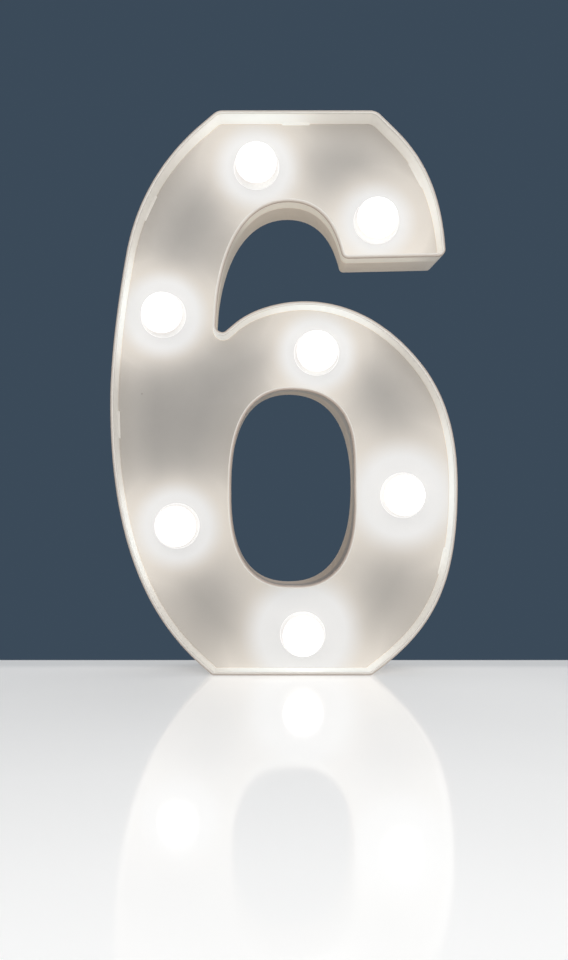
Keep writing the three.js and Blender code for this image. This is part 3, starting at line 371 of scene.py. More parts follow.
def sharp_curves(start_share, rows):
    start = place_of(start_share)
    curves = []
    for row in rows:
        points = [place_of(shares) for shares in row["to"]]
        end = points[-1]
        third = (end - start) / 3
        handles = points[:2] if len(points) == 3 else [start + third, end - third]
        curves.append(np.array([start, *handles, end]))
        start = end
    return curves


def outline_curves(start_share, rows):
    """Curves with their flare and their lean at both ends, which is 0 on the level base and 1 elsewhere."""
    sharp = sharp_curves(start_share, rows)
    leans = [0 if row.get("level") else 1 for row in rows]
    after = [*range(1, len(rows)), 0]
    reaches = []
    for i, row in enumerate(rows):
        turn = turn_between(slope_on(sharp[i], 1), slope_on(sharp[after[i]], 0))
        reaches.append(row.get("corner", 0) * tan(abs(turn) / 2))
    trimmed = [stretch_of(curve, reaches[i - 1], reaches[i]) for i, curve in enumerate(sharp)]
    curves = []
    for i, row in enumerate(rows):
        curves.append((trimmed[i], row.get("flare", NO_FLARE), leans[i], leans[i]))
        if "corner" in row:
            here, there = trimmed[i], trimmed[after[i]]
            into = unit(slope_on(here, 1))
            out_of = unit(slope_on(there, 0))
            curve = rounding_between(here[3], into, there[0], out_of, row["corner"])
            curves.append((curve, NO_FLARE, leans[i], leans[after[i]]))
    return curves


def outline_points(start_share, rows):
    """Places, the directions out of the material, leans and flares, along a whole outline."""
    places, outs, leans, flares = [], [], [], []
    for curve, (flare, skew), lean_from, lean_to in outline_curves(start_share, rows):
        slopes = slope_on(curve, np.linspace(0, 1, TURN_POINTS))
        turn = sum(abs(turn_between(a, b)) for a, b in zip(slopes, slopes[1:]))
        length = travel_along(curve)[1][-1]
        steps = ceil(max(length / OUTLINE_SPACING, degrees(turn) / OUTLINE_TURN, 1))
        for i in range(steps):
            along = unit(slope_on(curve, i / steps))
            places.append(point_on(curve, i / steps))
            outs.append((along[1], -along[0]))
            leans.append(lean_from + (lean_to - lean_from) * i / steps)
            flares.append(flare * sin(pi * (i / steps) ** skew) ** 2)
    return np.array(places), np.array(outs), np.array(leans), np.array(flares)


OUTER = outline_points(OUTLINE_START_SHARE, OUTLINE_SHARES)
OVAL = outline_points(OVAL_START_SHARE, OVAL_SHARES)
OVAL_BOTTOM_Z = float(OVAL[0][:, 1].min())
OVAL_MIDDLE_Z = (OVAL_BOTTOM_Z + float(OVAL[0][:, 1].max())) / 2


def drafts_at(outline, y):
    """How far into the material each place on a wall's outer face lies at a depth."""
    _, _, leans, flares = outline
    inset = BACK_INSET * max(0, y - FRONT_Y - RIM_ROUND) / (BACK_Y - FRONT_Y - RIM_ROUND)
    return leans * inset + flares * (BACK_Y - y) / (BACK_Y - FRONT_Y)


def wall_loop(outline, y, inset):
    """An outline's loop at a depth, moved into the material from the wall's outer face."""
    places, outs, _, _ = outline
    return places - outs * (inset + drafts_at(outline, y))[:, None]


def moved_in(loop, distance):
    """A closed loop moved to its inside, or to its outside where the distance is negative."""
    after = np.roll(loop, -1, axis=0)
    area = np.sum(loop[:, 0] * after[:, 1] - after[:, 0] * loop[:, 1])
    edges = after - loop
    edges = edges / norm(edges, axis=1)[:, None]
    normals = np.stack([-edges[:, 1], edges[:, 0]], axis=1) * np.sign(area)
    before = np.roll(normals, 1, axis=0)
    spread = 1 + np.sum(normals * before, axis=1)
    return loop + distance * (normals + before) / spread[:, None]


def rounded(corners, radii):
    """A closed loop through corners, each rounded off by its radius."""
    corners = [np.array(corner, float) for corner in corners]
    loop = []
    for i, (here, radius) in enumerate(zip(corners, np.broadcast_to(radii, len(corners)))):
        into = unit(here - corners[i - 1])
        out_of = unit(corners[(i + 1) % len(corners)] - here)
        reach = radius * tan(abs(turn_between(into, out_of)) / 2)
        curve = rounding_between(here - reach * into, into, here + reach * out_of, out_of, radius)
        loop.extend(point_on(curve, np.linspace(0, 1, CORNER_STEPS + 1)))
    return np.array(loop)


def rectangle(centre, length, height, radius):
    x, z = centre
    u, v = length / 2, height / 2
    return rounded([(x - u, z - v), (x + u, z - v), (x + u, z + v), (x - u, z + v)], radius)


def circle(centre, radius, sides):
    angles = np.linspace(0, 2 * pi, sides, endpoint=False)
    return np.array(centre) + radius * np.stack([np.cos(angles), np.sin(angles)], axis=1)


# Meshes


def edge_levels(edge, steps=EDGE_STEPS):
    """How far up and in a rounded edge is, from the flat face that it starts at."""
    angles = np.linspace(0, pi / 2, steps + 1)
    return [(edge * (1 - cos(a)), edge * (1 - sin(a))) for a in angles]


class Mould:
    """Gathers rings and faces into one mesh. A loop's two numbers and a level on the axis make a point."""

    def __init__(self, axis="y"):
        self.axis = axis
        self.points = []
        self.faces = []
        self.inside = []

    def add(self, points, inside=0):
        """Points, by number. Inside is 1 on the tray's inner side, 0 outside and -1 through the oval."""
        first = len(self.points)
        self.points.extend(points)
        self.inside.extend([inside] * (len(self.points) - first))
        return list(range(first, len(self.points)))

    def ring(self, loop, level, inside=0):
        return self.add([(u, level, v) if self.axis == "y" else (u, v, level) for u, v in loop], inside)

    def band(self, a, b):
        """Faces between two rings. A ring of one point makes a fan."""
        count = max(len(a), len(b))
        for i in range(count if count > 1 else 0):
            corners = [a[i % len(a)], b[i % len(b)], b[(i + 1) % len(b)], a[(i + 1) % len(a)]]
            self.faces.append(tuple(dict.fromkeys(corners)))

    def bands(self, rings):
        for a, b in zip(rings, rings[1:]):
            self.band(a, b)
        return rings

    def flat(self, *rings):
        """The flat face inside the first ring and outside the others."""
        numbers = [i for ring in rings for i in ring]
        loops = [[Vector(self.points[i]) for i in ring] for ring in rings]
        for corners in tessellate_polygon(loops):
            self.faces.append(tuple(numbers[i] for i in corners))

    def capped(self, rings):
        """Flat faces inside the first ring and the last."""
        self.flat(rings[0])
        self.flat(rings[-1])
        return self

    def stack(self, loop, levels):
        """Rings of one loop at levels, each moved in by its own distance, with faces between them."""
        return self.bands([self.ring(moved_in(loop, inset), level) for level, inset in levels])

    def sides(self, loop, low, high, high_edge=FINE_EDGE):
        """A block's rings, with rounded edges and faces between them."""
        levels = [(low + up, inset) for up, inset in edge_levels(FINE_EDGE)]
        levels += [(high - up, inset) for up, inset in reversed(edge_levels(high_edge))]
        return self.stack(loop, levels)

    def block(self, *place, **edge):
        return self.capped(self.sides(*place, **edge))

    def hole(self, loop, face, far, edge=FINE_EDGE):
        """A hole's wall, from a rounded edge at a face to a far level. Gives its two end rings."""
        into = copysign(1, far - face)
        lip = [(face + into * up, -inset) for up, inset in edge_levels(edge)]
        rings = self.stack(loop, [*lip, (far, 0)])
        return rings[0], rings[-1]

    def pocket(self, loop, face, floor, edge=FINE_EDGE):
        """A recess with a floor. Gives the ring where it meets the face."""
        first, last = self.hole(loop, face, floor, edge)
        self.flat(last)
        return first

    def turn(self, profile, centre, sides, closed=False):
        """A shape turned about the axis through a centre, from its (radius, level) points."""
        rings = []
        for radius, level in profile:
            rings.append(self.ring(circle(centre, radius, sides if radius > 0 else 1), level))
        self.bands([*rings, rings[0]] if closed else rings)
        return self


def together(*moulds):
    """Several moulds as one."""
    whole = Mould()
    for mould in moulds:
        first = len(whole.points)
        whole.points.extend(mould.points)
        whole.inside.extend(mould.inside)
        whole.faces.extend(tuple(i + first for i in face) for face in mould.faces)
    return whole


def mesh_of(mould, name):
    mesh = bpy.data.meshes.new(name)
    mesh.from_pydata(mould.points, [], mould.faces)
    work = bmesh.new()
    work.from_mesh(mesh)
    bmesh.ops.recalc_face_normals(work, faces=work.faces)
    work.to_mesh(mesh)
    work.free()
    if any(mould.inside):
        mesh.attributes.new("inside", "FLOAT", "POINT").data.foreach_set("value", mould.inside)
    return mesh


def put(name, mesh):
    piece = bpy.data.objects.new(name, mesh)
    bpy.context.scene.collection.objects.link(piece)
    return piece


def shaded(mesh, material):
    """The mesh with its material, and smooth but for its edges."""
    mesh.materials.clear()
    mesh.materials.append(material)
    mesh.polygons.foreach_set("use_smooth", [True] * len(mesh.polygons))
    mesh.set_sharp_from_angle(angle=radians(SMOOTH_ANGLE))
    return mesh


def dress(name, mesh, material, slot, node, body="light_body"):
    """A finished piece from a mesh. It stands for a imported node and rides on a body."""
    piece = put(name, shaded(mesh, material))
    piece.modifiers.new("weighted_normals", "WEIGHTED_NORMAL").keep_sharp = True
    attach(piece, body)
    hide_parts(node)


def make(name, mould, *rest):
    dress(name, mesh_of(mould, name), *rest)


def mesh_as_shown(thing):
    """An object's mesh with its modifiers, or its letters' mesh. The object goes."""
    mesh = bpy.data.meshes.new_from_object(thing.evaluated_get(bpy.context.evaluated_depsgraph_get()))
    bpy.data.objects.remove(thing)
    return mesh


def carved(mould, tools):
    """A mould's mesh after other moulds' meshes are cut from it."""
    solid = put("carving", mesh_of(mould, "carving"))
    cutter = put("cutter", mesh_of(together(*tools), "cutter"))
    cut = solid.modifiers.new("cut", "BOOLEAN")
    cut.operation = "DIFFERENCE"
    cut.solver = "EXACT"
    cut.object = cutter
    mesh = mesh_as_shown(solid)
    bpy.data.objects.remove(cutter)
    return mesh


def box_about(x, width, low, high):
    """A box centred on x, from its low Y and Z to its high Y and Z."""
    left, right = x - width / 2, x + width / 2
    loop = np.array([(left, low[1]), (right, low[1]), (right, high[1]), (left, high[1])])
    mould = Mould()
    return mould.capped(mould.stack(loop, [(low[0], 0), (high[0], 0)]))


def tube(path, diameter):
    """A closed round tube along points."""
    path = np.array(path, float)
    along = np.gradient(path, axis=0)
    along /= norm(along, axis=1)[:, None]
    across = np.cross(along[0], np.roll(along[0], 1) + (0, 0, 1))
    section = circle((0, 0), diameter / 2, WIRE_SIDES)
    mould = Mould()
    rings = []
    for point, direction in zip(path, along):
        across = unit(across - direction * (across @ direction))
        other = np.cross(direction, across)
        rings.append(mould.add([tuple(point + u * across + v * other) for u, v in section]))
    return mould.capped(mould.bands(rings))


def smooth_path(places):
    """A smooth path through places that are unevenly spaced."""
    places = [np.array(place, float) for place in places]
    row = [2 * places[0] - places[1], *places, 2 * places[-1] - places[-2]]
    path = []
    for a, b, c, d in zip(row, row[1:], row[2:], row[3:]):
        before, here, after = (sqrt(norm(q - p)) for p, q in ((a, b), (b, c), (c, d)))
        into = ((b - a) / before - (c - a) / (before + here) + (c - b) / here) * here
        out_of = ((c - b) / here - (d - b) / (here + after) + (d - c) / after) * here
        curve = np.array([b, b + into / 3, c - out_of / 3, c])
        path.extend(point_on(curve, np.linspace(0, 1, LEAD_STEPS, endpoint=False)))
    return np.array([*path, places[-1]])


# Materials: each sets its plain values on the shader and adds what varies over the surface through nodes


class Nodes:
    def __init__(self, tree):
        self.tree = tree

    def node(self, kind, inputs=None, **settings):
        made = self.tree.nodes.new(f"ShaderNode{kind}")
        for name, value in settings.items():
            setattr(made, name, value)
        for name, value in (inputs or {}).items():
            self.feed(made.inputs[name], value)
        return made

    def feed(self, socket, value):
        """Joins a node's output to a socket, or sets the socket. A colour may leave out its fourth part."""
        if isinstance(value, bpy.types.NodeSocket):
            self.tree.links.new(value, socket)
        else:
            socket.default_value = (*value, 1) if socket.type == "RGBA" and len(value) == 3 else value

    def maths(self, operation, a, b):
        return self.node("Math", {0: a, 1: b}, operation=operation).outputs["Value"]

    def seen(self):
        """1 for what the camera, gloss and glass see, 0 for the light that falls on things."""
        rays = self.node("LightPath").outputs
        either = self.maths("MAXIMUM", rays["Is Camera Ray"], rays["Is Glossy Ray"])
        return self.maths("MAXIMUM", either, rays["Is Transmission Ray"])


class Finish(Nodes):
    def __init__(self, name, **values):
        self.material = bpy.data.materials.new(name)
        self.material.use_nodes = True
        super().__init__(self.material.node_tree)
        self.give(**values)
        self.place = self.node("TexCoord").outputs["Object"]

    def give(self, **values):
        """Sets sockets of the shader, whose names have spaces for underscores."""
        for name, value in values.items():
            self.feed(self.tree.nodes["Principled BSDF"].inputs[name.replace("_", " ")], value)

    def noise(self, scale, detail=2, stretch=(1, 1, 1)):
        """A grey pattern whose spots are about one over the scale in size."""
        place = self.node("Mapping", {"Vector": self.place, "Scale": stretch}).outputs["Vector"]
        return self.node("TexNoise", {"Vector": place, "Scale": scale, "Detail": detail}).outputs["Fac"]

    def between(self, value, low, high, out_low=0, out_high=1):
        """A value taken from one range to another, and held at its ends."""
        ends = {"From Min": low, "From Max": high, "To Min": out_low, "To Max": out_high}
        return self.node("MapRange", {"Value": value, **ends}).outputs["Result"]

    def rough(self, scale, low, high):
        """Roughness that wanders between two values."""
        self.give(Roughness=self.between(self.noise(scale), 0.3, 0.7, low, high))

    def along(self, axis):
        return self.node("SeparateXYZ", {"Vector": self.place}).outputs[axis]

    def times(self, first, *others):
        for other in others:
            first = self.maths("MULTIPLY", first, other)
        return first

    def mix(self, share, a, b):
        """Two colours mixed. A Mix node has sockets for all types; these are the ones for colours."""
        return self.node("Mix", {0: share, 6: a, 7: b}, data_type="RGBA").outputs[2]

    def glow(self):
        """How strongly the painted glow shows at a place on the lit face, from 0 to 1: the lamps' light
        shining through, painted as emission.
        """
        flat = self.node("VectorMath", {0: self.place, 1: (1, 0, 1)}, operation="MULTIPLY").outputs[0]
        total = 0
        for (x, z), reach, fade in zip(BULBS, GLOW_REACHES, GLOW_FADES):
            away = self.node("VectorMath", {0: flat, 1: (x, 0, z)}, operation="DISTANCE").outputs["Value"]
            faded = self.between(away, reach, reach + GLOW_END * fade, 0, GLOW_END)
            spread = self.maths("ADD", self.times(faded, faded), 1)
            total = self.maths("ADD", self.maths("POWER", spread, GLOW_POWER), total)
        return self.maths("MINIMUM", total, 1)

    def bump(self, height, strength, distance):
        made = self.node("Bump", {"Height": height, "Strength": strength, "Distance": distance})
        self.give(Normal=made.outputs["Normal"])


def moulded_plastic(name, pale, darker, grain=2400, roughness=(0.36, 0.5)):
    """A satin moulded plastic: faint mottling, an eroded grain, and roughness that wanders a little."""
    finish = Finish(name, Specular_IOR_Level=0.45)
    finish.colour = finish.mix(finish.between(finish.noise(38, detail=4), 0.35, 0.65), darker, pale)
    finish.give(Base_Color=finish.colour)
    finish.rough(420, *roughness)
    finish.bump(finish.noise(grain, detail=3), 0.35, PLASTIC_GRAIN_DEPTH)
    return finish


def shell_plastic():
    """The tray's plastic, with painted light and painted shade. A painted glow (emission) stands for the
    lamps' light on its inner side and through its walls in front of the panel, with a faint warm one behind
    the panel. Painted shade turns it brown on the lip and through the oval, where less of their light
    reaches."""
    finish = moulded_plastic("shell_plastic", (0.78, 0.745, 0.69), (0.75, 0.715, 0.66))
    between, mix, times = finish.between, finish.mix, finish.times
    depth = finish.along("Y")
    inside = finish.node("Attribute", attribute_name="inside").outputs["Fac"]
    glow = finish.glow()

    # Painted shade: the walls through the oval are darkened brown, most towards the oval's bottom, and so
    # is the lip's outer rounding
    low = between(finish.along("Z"), OVAL_MIDDLE_Z, OVAL_BOTTOM_Z, 0.15, 0.9)
    oval = times(between(inside, -1, 0, 1, 0), low)
    lip_end = FRONT_Y + LIP_OUTER_ROUND
    lip = between(depth, lip_end, lip_end + LIP_SHADE_FADE, 1, 0)
    edge = times(lip, between(inside, 0.05, 1, 1, 0))
    lip_shaded_colour = mix(edge, finish.colour, (0.56, 0.465, 0.4))
    finish.give(Base_Color=mix(oval, lip_shaded_colour, (0.385, 0.335, 0.3)))

    # Painted light: emission stands for the lamps' light on the inner side and through the walls in front
    # of the panel, with a faint warm painted glow behind the panel
    lit = times(inside, between(glow, 0.03, 0.3, 0.13, 0.34))
    outside = times(between(inside, 0, 1, 1, 0), between(inside, -1, 0))
    through = times(outside, between(glow, 0.1, 0.33, 0.06, 0.25))
    shining = finish.maths("MAXIMUM", finish.maths("ADD", lit, through), 0)
    shining = times(shining, between(lip, 0, 1, 1, 0.25), between(edge, 0, 1, 1, 0))
    behind = between(glow, 0.1, 0.4, 0.04, 0.085)
    inner = mix(between(glow, 0.12, 0.45), (0.97, 0.95, 0.9), (0.84, 0.95, 0.97))
    front = mix(inside, (0.96, 0.86, 0.7), inner)
    in_front = between(depth, PANEL_FRONT_Y - FIT, PANEL_FRONT_Y + FIT, 1, 0)
    strength = finish.node("Mix", {"Factor": in_front, "A": behind, "B": shining}).outputs["Result"]
    finish.give(Emission_Color=mix(in_front, (1, 0.72, 0.45), front), Emission_Strength=strength)
    return finish.material


def panel_plastic():
    """The panel's plastic, with a few dark specks moulded into it. Its colour is darkened as painted shade,
    and a painted glow (emission) lies round each cap and, more faintly, along the walls."""
    # Painted shade: a dark grey colour for the recessed panel, which the painted glow lifts round the caps
    finish = moulded_plastic("panel_plastic", (0.31, 0.293, 0.274), (0.286, 0.271, 0.253), grain=1700)
    between, mix, times = finish.between, finish.mix, finish.times
    cells = finish.node("TexVoronoi", {"Vector": finish.place, "Scale": 75}).outputs
    chance = finish.node("SeparateColor", {"Color": cells["Color"]}).outputs["Red"]
    chosen = finish.maths("GREATER_THAN", chance, 0.72)
    speck = times(between(cells["Distance"], 0.018, 0.03, 1, 0), chosen)
    finish.give(Base_Color=mix(speck, finish.colour, (0.2, 0.18, 0.16)))

    # Painted light: emission for the lamps' glow round each cap and, fainter, close to the walls
    glow = finish.glow()
    near = finish.node("AmbientOcclusion", {"Distance": WALL_GLOW_REACH}, samples=8).outputs["AO"]
    walls = times(between(near, 0, 1, 1, 0), between(glow, 0.05, 0.3, 0.25, 0.55))
    walls = times(walls, between(glow, 0.3, 1, 1, 0))
    strength = finish.maths("ADD", walls, times(glow, 0.515))
    finish.give(
        Emission_Color=mix(between(glow, 0.55, 1), (1, 0.91, 0.8), (0.97, 0.985, 1)),
        Emission_Strength=times(strength, between(speck, 0, 1, 1, 0.6)),
    )
    return finish.material


def frosted_plastic():
    """The lit caps: dazzling on the dome, dimmer down the sides, and pinkish where the two meet."""
    finish = moulded_plastic("frosted_plastic", (0.93, 0.92, 0.9), (0.9, 0.89, 0.87), roughness=(0.5, 0.62))
    between, mix = finish.between, finish.mix
    rise = between(finish.along("Y"), PANEL_FRONT_Y, PANEL_FRONT_Y - CAP_HEIGHT)
    shoulder = CAP_SHOULDER_HEIGHT / CAP_HEIGHT
    up_side = between(rise, 0.4 * shoulder, 0.9 * shoulder)
    domed = between(rise, shoulder - 0.1, shoulder - 0.03)
    cloud = between(finish.noise(180), 0.3, 0.7, 0.98, 1.02)
    finish.give(
        Emission_Color=mix(domed, mix(up_side, (0.98, 0.97, 0.99), (1, 0.85, 0.83)), (1, 0.99, 0.975)),
        Emission_Strength=finish.times(between(domed, 0, 1, 0.235, 1.25), cloud),
    )
    return finish.material


def led_resin():
    finish = moulded_plastic("led_resin", (0.9, 0.86, 0.7), (0.86, 0.82, 0.66), roughness=(0.12, 0.2))
    finish.give(Coat_Weight=0.5)
    return finish.material


def metal(name, colour, roughness, scratches=(1, 1, 1)):
    """A metal with fine drawn scratches and faintly dulled patches."""
    finish = Finish(name, Metallic=1)
    streak = finish.noise(900, detail=3, stretch=scratches)
    dull = tuple(0.86 * part for part in colour)
    finish.give(
        Base_Color=finish.mix(finish.between(finish.noise(160), 0.35, 0.65), dull, colour),
        Roughness=finish.between(streak, 0.3, 0.7, roughness - 0.07, roughness + 0.1),
    )
    finish.bump(streak, 0.2, SCRATCH_DEPTH)
    return finish.material


def insulation(name, colour):
    """A wire's soft covering, faintly ribbed by its drawing."""
    finish = Finish(name, Specular_IOR_Level=0.5)
    darker = tuple(0.82 * part for part in colour)
    finish.give(Base_Color=finish.mix(finish.between(finish.noise(600), 0.3, 0.7), darker, colour))
    finish.rough(900, 0.38, 0.52)
    finish.bump(finish.noise(2600), 0.25, FILM_GRAIN_DEPTH)
    return finish.material


def jacket_film(name, flat_z, button_z):
    """A cell's shrunk sleeve: blue grey, with a pale band towards the button's end."""
    finish = Finish(name, Specular_IOR_Level=0.55, Coat_Weight=0.4, Coat_Roughness=0.12)
    rise = finish.between(finish.along("Z"), flat_z, button_z)
    band = finish.times(finish.between(rise, 0.72, 0.723), finish.between(rise, 0.9, 0.903, 1, 0))
    tint = finish.mix(finish.noise(260), (0.085, 0.115, 0.138), (0.1, 0.132, 0.156))
    finish.give(Base_Color=finish.mix(band, tint, (0.7, 0.7, 0.68)))
    finish.rough(700, 0.22, 0.34)
    finish.bump(finish.noise(1500), 0.15, FILM_GRAIN_DEPTH)
    return finish.material


def floor_paint():
    """The floor's pale paint, lifted a little where it is seen, in gloss and glass too."""
    finish = Finish("floor_paint", Specular_IOR_Level=0.06, Emission_Color=(1, 1, 1))
    finish.rough(30, 0.05, 0.08)
    finish.give(
        Base_Color=finish.mix(finish.noise(6), (0.9, 0.9, 0.897), (0.92, 0.92, 0.917)),
        Emission_Strength=finish.times(finish.seen(), FLOOR_LIFT),
    )
    return finish.material


# The tray


def keyhole_loop():
    x, z = place_of(KEYHOLE_SHARES)
    radius = KEYHOLE_DIAMETER / 2
    half_slot = KEYHOLE_SLOT_WIDTH / 2
    join = acos(half_slot / radius)
    slot = np.linspace(0, pi, SMALL_SIDES // 2)
    hole = np.linspace(pi - join, 2 * pi + join, SMALL_SIDES)
    top = [(x + half_slot * cos(a), z + KEYHOLE_SLOT_LENGTH + half_slot * sin(a)) for a in slot]
    return np.array(top + [(x + radius * cos(a), z + radius * sin(a)) for a in hole])


def door_recess_loop():
    return rectangle(WELL, DOOR_WIDTH + 2 * FIT, DOOR_LENGTH + 2 * FIT, DOOR_CORNER + FIT)


def switch_pocket_loop():
    return rectangle(SWITCH, POCKET_LENGTH, POCKET_WIDTH, DOOR_CORNER)


def word_field_place():
    return SWITCH + np.array([0, POCKET_WIDTH / 2 + WORD_FIELD_GAP + WORD_FIELD_WIDTH / 2])


def wall_section(outside):
    """Depths, insets and sides, along a wall from its foot inside, over the lip, to the back's edge."""
    inner, outer, back = LIP_INNER_ROUND, LIP_OUTER_ROUND, BACK_EDGE_ROUND
    section = [(y, WALL, 1) for y in np.linspace(BACK_INNER_Y, FRONT_Y + inner, WALL_LEVELS + 1)]
    section += [(FRONT_Y + inset, WALL - up, 1) for up, inset in edge_levels(inner, ROUND_STEPS)[1:]]
    for up, inset in edge_levels(outer, ROUND_STEPS)[1:]:
        section.append((FRONT_Y + up, inset, 1 + (outside - 1) * (1 - inset / outer)))
    section += [(y, 0, outside) for y in np.linspace(FRONT_Y + outer, BACK_Y - back, WALL_LEVELS + 1)[1:]]
    for up, inset in edge_levels(back, ROUND_STEPS)[1:]:
        section.append((BACK_Y - inset, up, outside * (1 - up / back)))
    return section


def tray_shell():
    mould = Mould()
    walls = []
    for outline, outside in ((OUTER, 0), (OVAL, -1)):
        section = wall_section(outside)
        walls.append(mould.bands([mould.ring(wall_loop(outline, y, i), y, side) for y, i, side in section]))
    loops = [door_recess_loop(), switch_pocket_loop(), keyhole_loop()]
    outer_rings, inner_rings = zip(*[mould.hole(loop, BACK_Y, BACK_INNER_Y, SOFT_EDGE) for loop in loops])
    field = rectangle(word_field_place(), WORD_FIELD_LENGTH, WORD_FIELD_WIDTH, DOOR_CORNER)
    words = mould.pocket(field, BACK_Y, BACK_Y - MARK_DEPTH)
    mould.flat(walls[0][-1], walls[1][-1], *outer_rings, words)
    mould.flat(walls[0][0], walls[1][0], *inner_rings)
    return mould


def wall_block(outline, shares, length, levels, taper=0):
    """A block on the inside of a wall, from its rises above the wall at depths. Taper shortens its top."""
    places, outs, _, _ = outline
    nearest = int(np.argmin(norm(places - place_of(shares), axis=1)))
    place, out = places[nearest], outs[nearest]
    along = np.array([-out[1], out[0]])
    side = along * length / 2
    shorter = side - along * taper
    mould = Mould()
    rings = []
    for y, rise in levels:
        draft = drafts_at(outline, y)[nearest]
        foot = place - out * (WALL / 2 + draft)
        top = place - out * (WALL + rise + draft)
        rings.append(mould.ring([foot - side, foot + side, top + shorter, top - shorter], y, 1))
    return mould.capped(mould.bands(rings))


def snap_lugs():
    back_y = PANEL_FRONT_Y - FIT
    fine_y = back_y - FINE_EDGE
    levels = [(back_y - LUG_DEPTH, -OVERLAP), (fine_y, LUG_HEIGHT), (back_y, LUG_HEIGHT - FINE_EDGE)]
    return together(*[wall_block(OUTER, shares, LUG_LENGTH, levels, LUG_HEIGHT) for shares in LUG_SHARES])


def panel_ribs():
    levels = [(PANEL_BACK_Y + FIT, RIB_REACH), (BACK_INNER_Y + OVERLAP, RIB_REACH)]
    outer = [wall_block(OUTER, shares, RIB_THICKNESS, levels) for shares in OUTER_RIB_SHARES]
    oval = [wall_block(OVAL, shares, RIB_THICKNESS, levels) for shares in OVAL_RIB_SHARES]
    return together(*outer, *oval)


def tab_xs():
    return [WELL[0] + side * TAB_SPREAD / 2 for side in (-1, 1)]


def cell_well():
    """The compartment's cup behind the back's opening, with a ledge for the door and gaps cut for the
    door's tabs and the contacts' tabs.
    """
    margin = 2 * (DOOR_LEDGE + WELL_WALL)
    outer = rectangle(WELL, WELL_WIDTH + margin, WELL_LENGTH + margin, DOOR_CORNER)
    inner = rectangle(WELL, WELL_WIDTH, WELL_LENGTH, DOOR_CORNER / 2)
    cup = Mould()
    outside = cup.stack(outer, [(BACK_INNER_Y, 0), (WELL_FRONT_Y, 0)])
    cup.flat(outside[1])
    lip = cup.pocket(inner, LEDGE_Y, WELL_FLOOR_Y)
    shelf = cup.stack(door_recess_loop(), [(LEDGE_Y, 0), (BACK_INNER_Y, 0)])
    cup.flat(shelf[0], lip)
    cup.flat(outside[0], shelf[1])
    low = (DOOR_OUTER_Y - TAB_SWING - FIT, DOOR_BOTTOM_Z - TAB_REACH - FIT)
    high = (BACK_Y, WELL_BOTTOM_Z + OVERLAP)
    cuts = [box_about(x, TAB_WIDTH + 2 * FIT, low, high) for x in tab_xs()]
    low = (WELL_FRONT_Y - OVERLAP, WELL_TOP_Z - CONTACT_STACK - FIT)
    high = (WELL_FLOOR_Y + OVERLAP, WELL_TOP_Z)
    cuts += [box_about(x, CONTACT_TAB_WIDTH + 2 * FIT, low, high) for x in CELL_XS]
    return carved(cup, cuts)


def cell_divider():
    length = WELL_LENGTH - 2 * (CONTACT_STACK + FIT)
    loop = rectangle(WELL, DIVIDER_THICKNESS, length, DIVIDER_THICKNESS / 3)
    return Mould().block(loop, WELL_FLOOR_Y - OVERLAP, WELL_FLOOR_Y + DIVIDER_HEIGHT, high_edge=SOFT_EDGE)


def switch_pocket():
    """The cup that the switch's knob stands in, with the knob's slot, and the bosses beside it."""
    outer = rectangle(SWITCH, POCKET_LENGTH + 2 * WELL_WALL, POCKET_WIDTH + 2 * WELL_WALL, DOOR_CORNER)
    slot = rectangle(SWITCH, KNOB_LENGTH + SWITCH_TRAVEL + 2 * FIT, KNOB_WIDTH + 2 * FIT, SOFT_EDGE)
    cup = Mould()
    outside = cup.stack(outer, [(BACK_INNER_Y, 0), (POCKET_INNER_Y, 0)])
    rounded_foot = [(POCKET_FLOOR_Y, SOFT_EDGE), (POCKET_FLOOR_Y + SOFT_EDGE, 0)]
    inside = cup.stack(switch_pocket_loop(), [*rounded_foot, (BACK_INNER_Y, 0)])
    lip, end = cup.hole(slot, POCKET_FLOOR_Y, POCKET_INNER_Y)
    cup.flat(outside[0], inside[-1])
    cup.flat(outside[-1], end)
    cup.flat(inside[0], lip)
    for side in (-1, 1):
        boss = circle(SWITCH + (side * SCREW_SPACING / 2, 0), BOSS_DIAMETER / 2, SMALL_SIDES)
        cup.block(boss, POCKET_INNER_Y, BACK_INNER_Y + OVERLAP)
    return cup


def switch_word(word, side):
    """A raised and inked word in the field beside the switch, read from the back."""
    letters = bpy.data.curves.new(f"word_{word}", "FONT")
    letters.body = word
    letters.size = WORD_HEIGHT / LETTER_BODY_SHARE
    letters.align_x = "CENTER"
    letters.align_y = "CENTER"
    letters.extrude = MARK_DEPTH / 2
    mesh = mesh_as_shown(put(letters.name, letters))
    x, z = word_field_place()
    facing_back = Matrix(((-1, 0, 0), (0, 0, 1), (0, 1, 0))).to_4x4()
    level = BACK_Y - MARK_DEPTH / 2 - FINE_EDGE
    mesh.transform(Matrix.Translation((x + side * WORD_SPREAD / 2, level, z)) @ facing_back)
    return mesh


def make_tray(material, word_ink):
    shell = ("shell_plastic", "housing_shell")
    make("tray", tray_shell(), material, *shell)
    make("snap_lugs", snap_lugs(), material, *shell)
    make("panel_ribs", panel_ribs(), material, *shell)
    dress("cell_well", cell_well(), material, *shell)
    make("cell_divider", cell_divider(), material, *shell)
    make("switch_pocket", switch_pocket(), material, *shell)
    dress("word_on", switch_word("ON", -1), word_ink, *shell)
    dress("word_off", switch_word("OFF", 1), word_ink, *shell)


# The panel and the caps


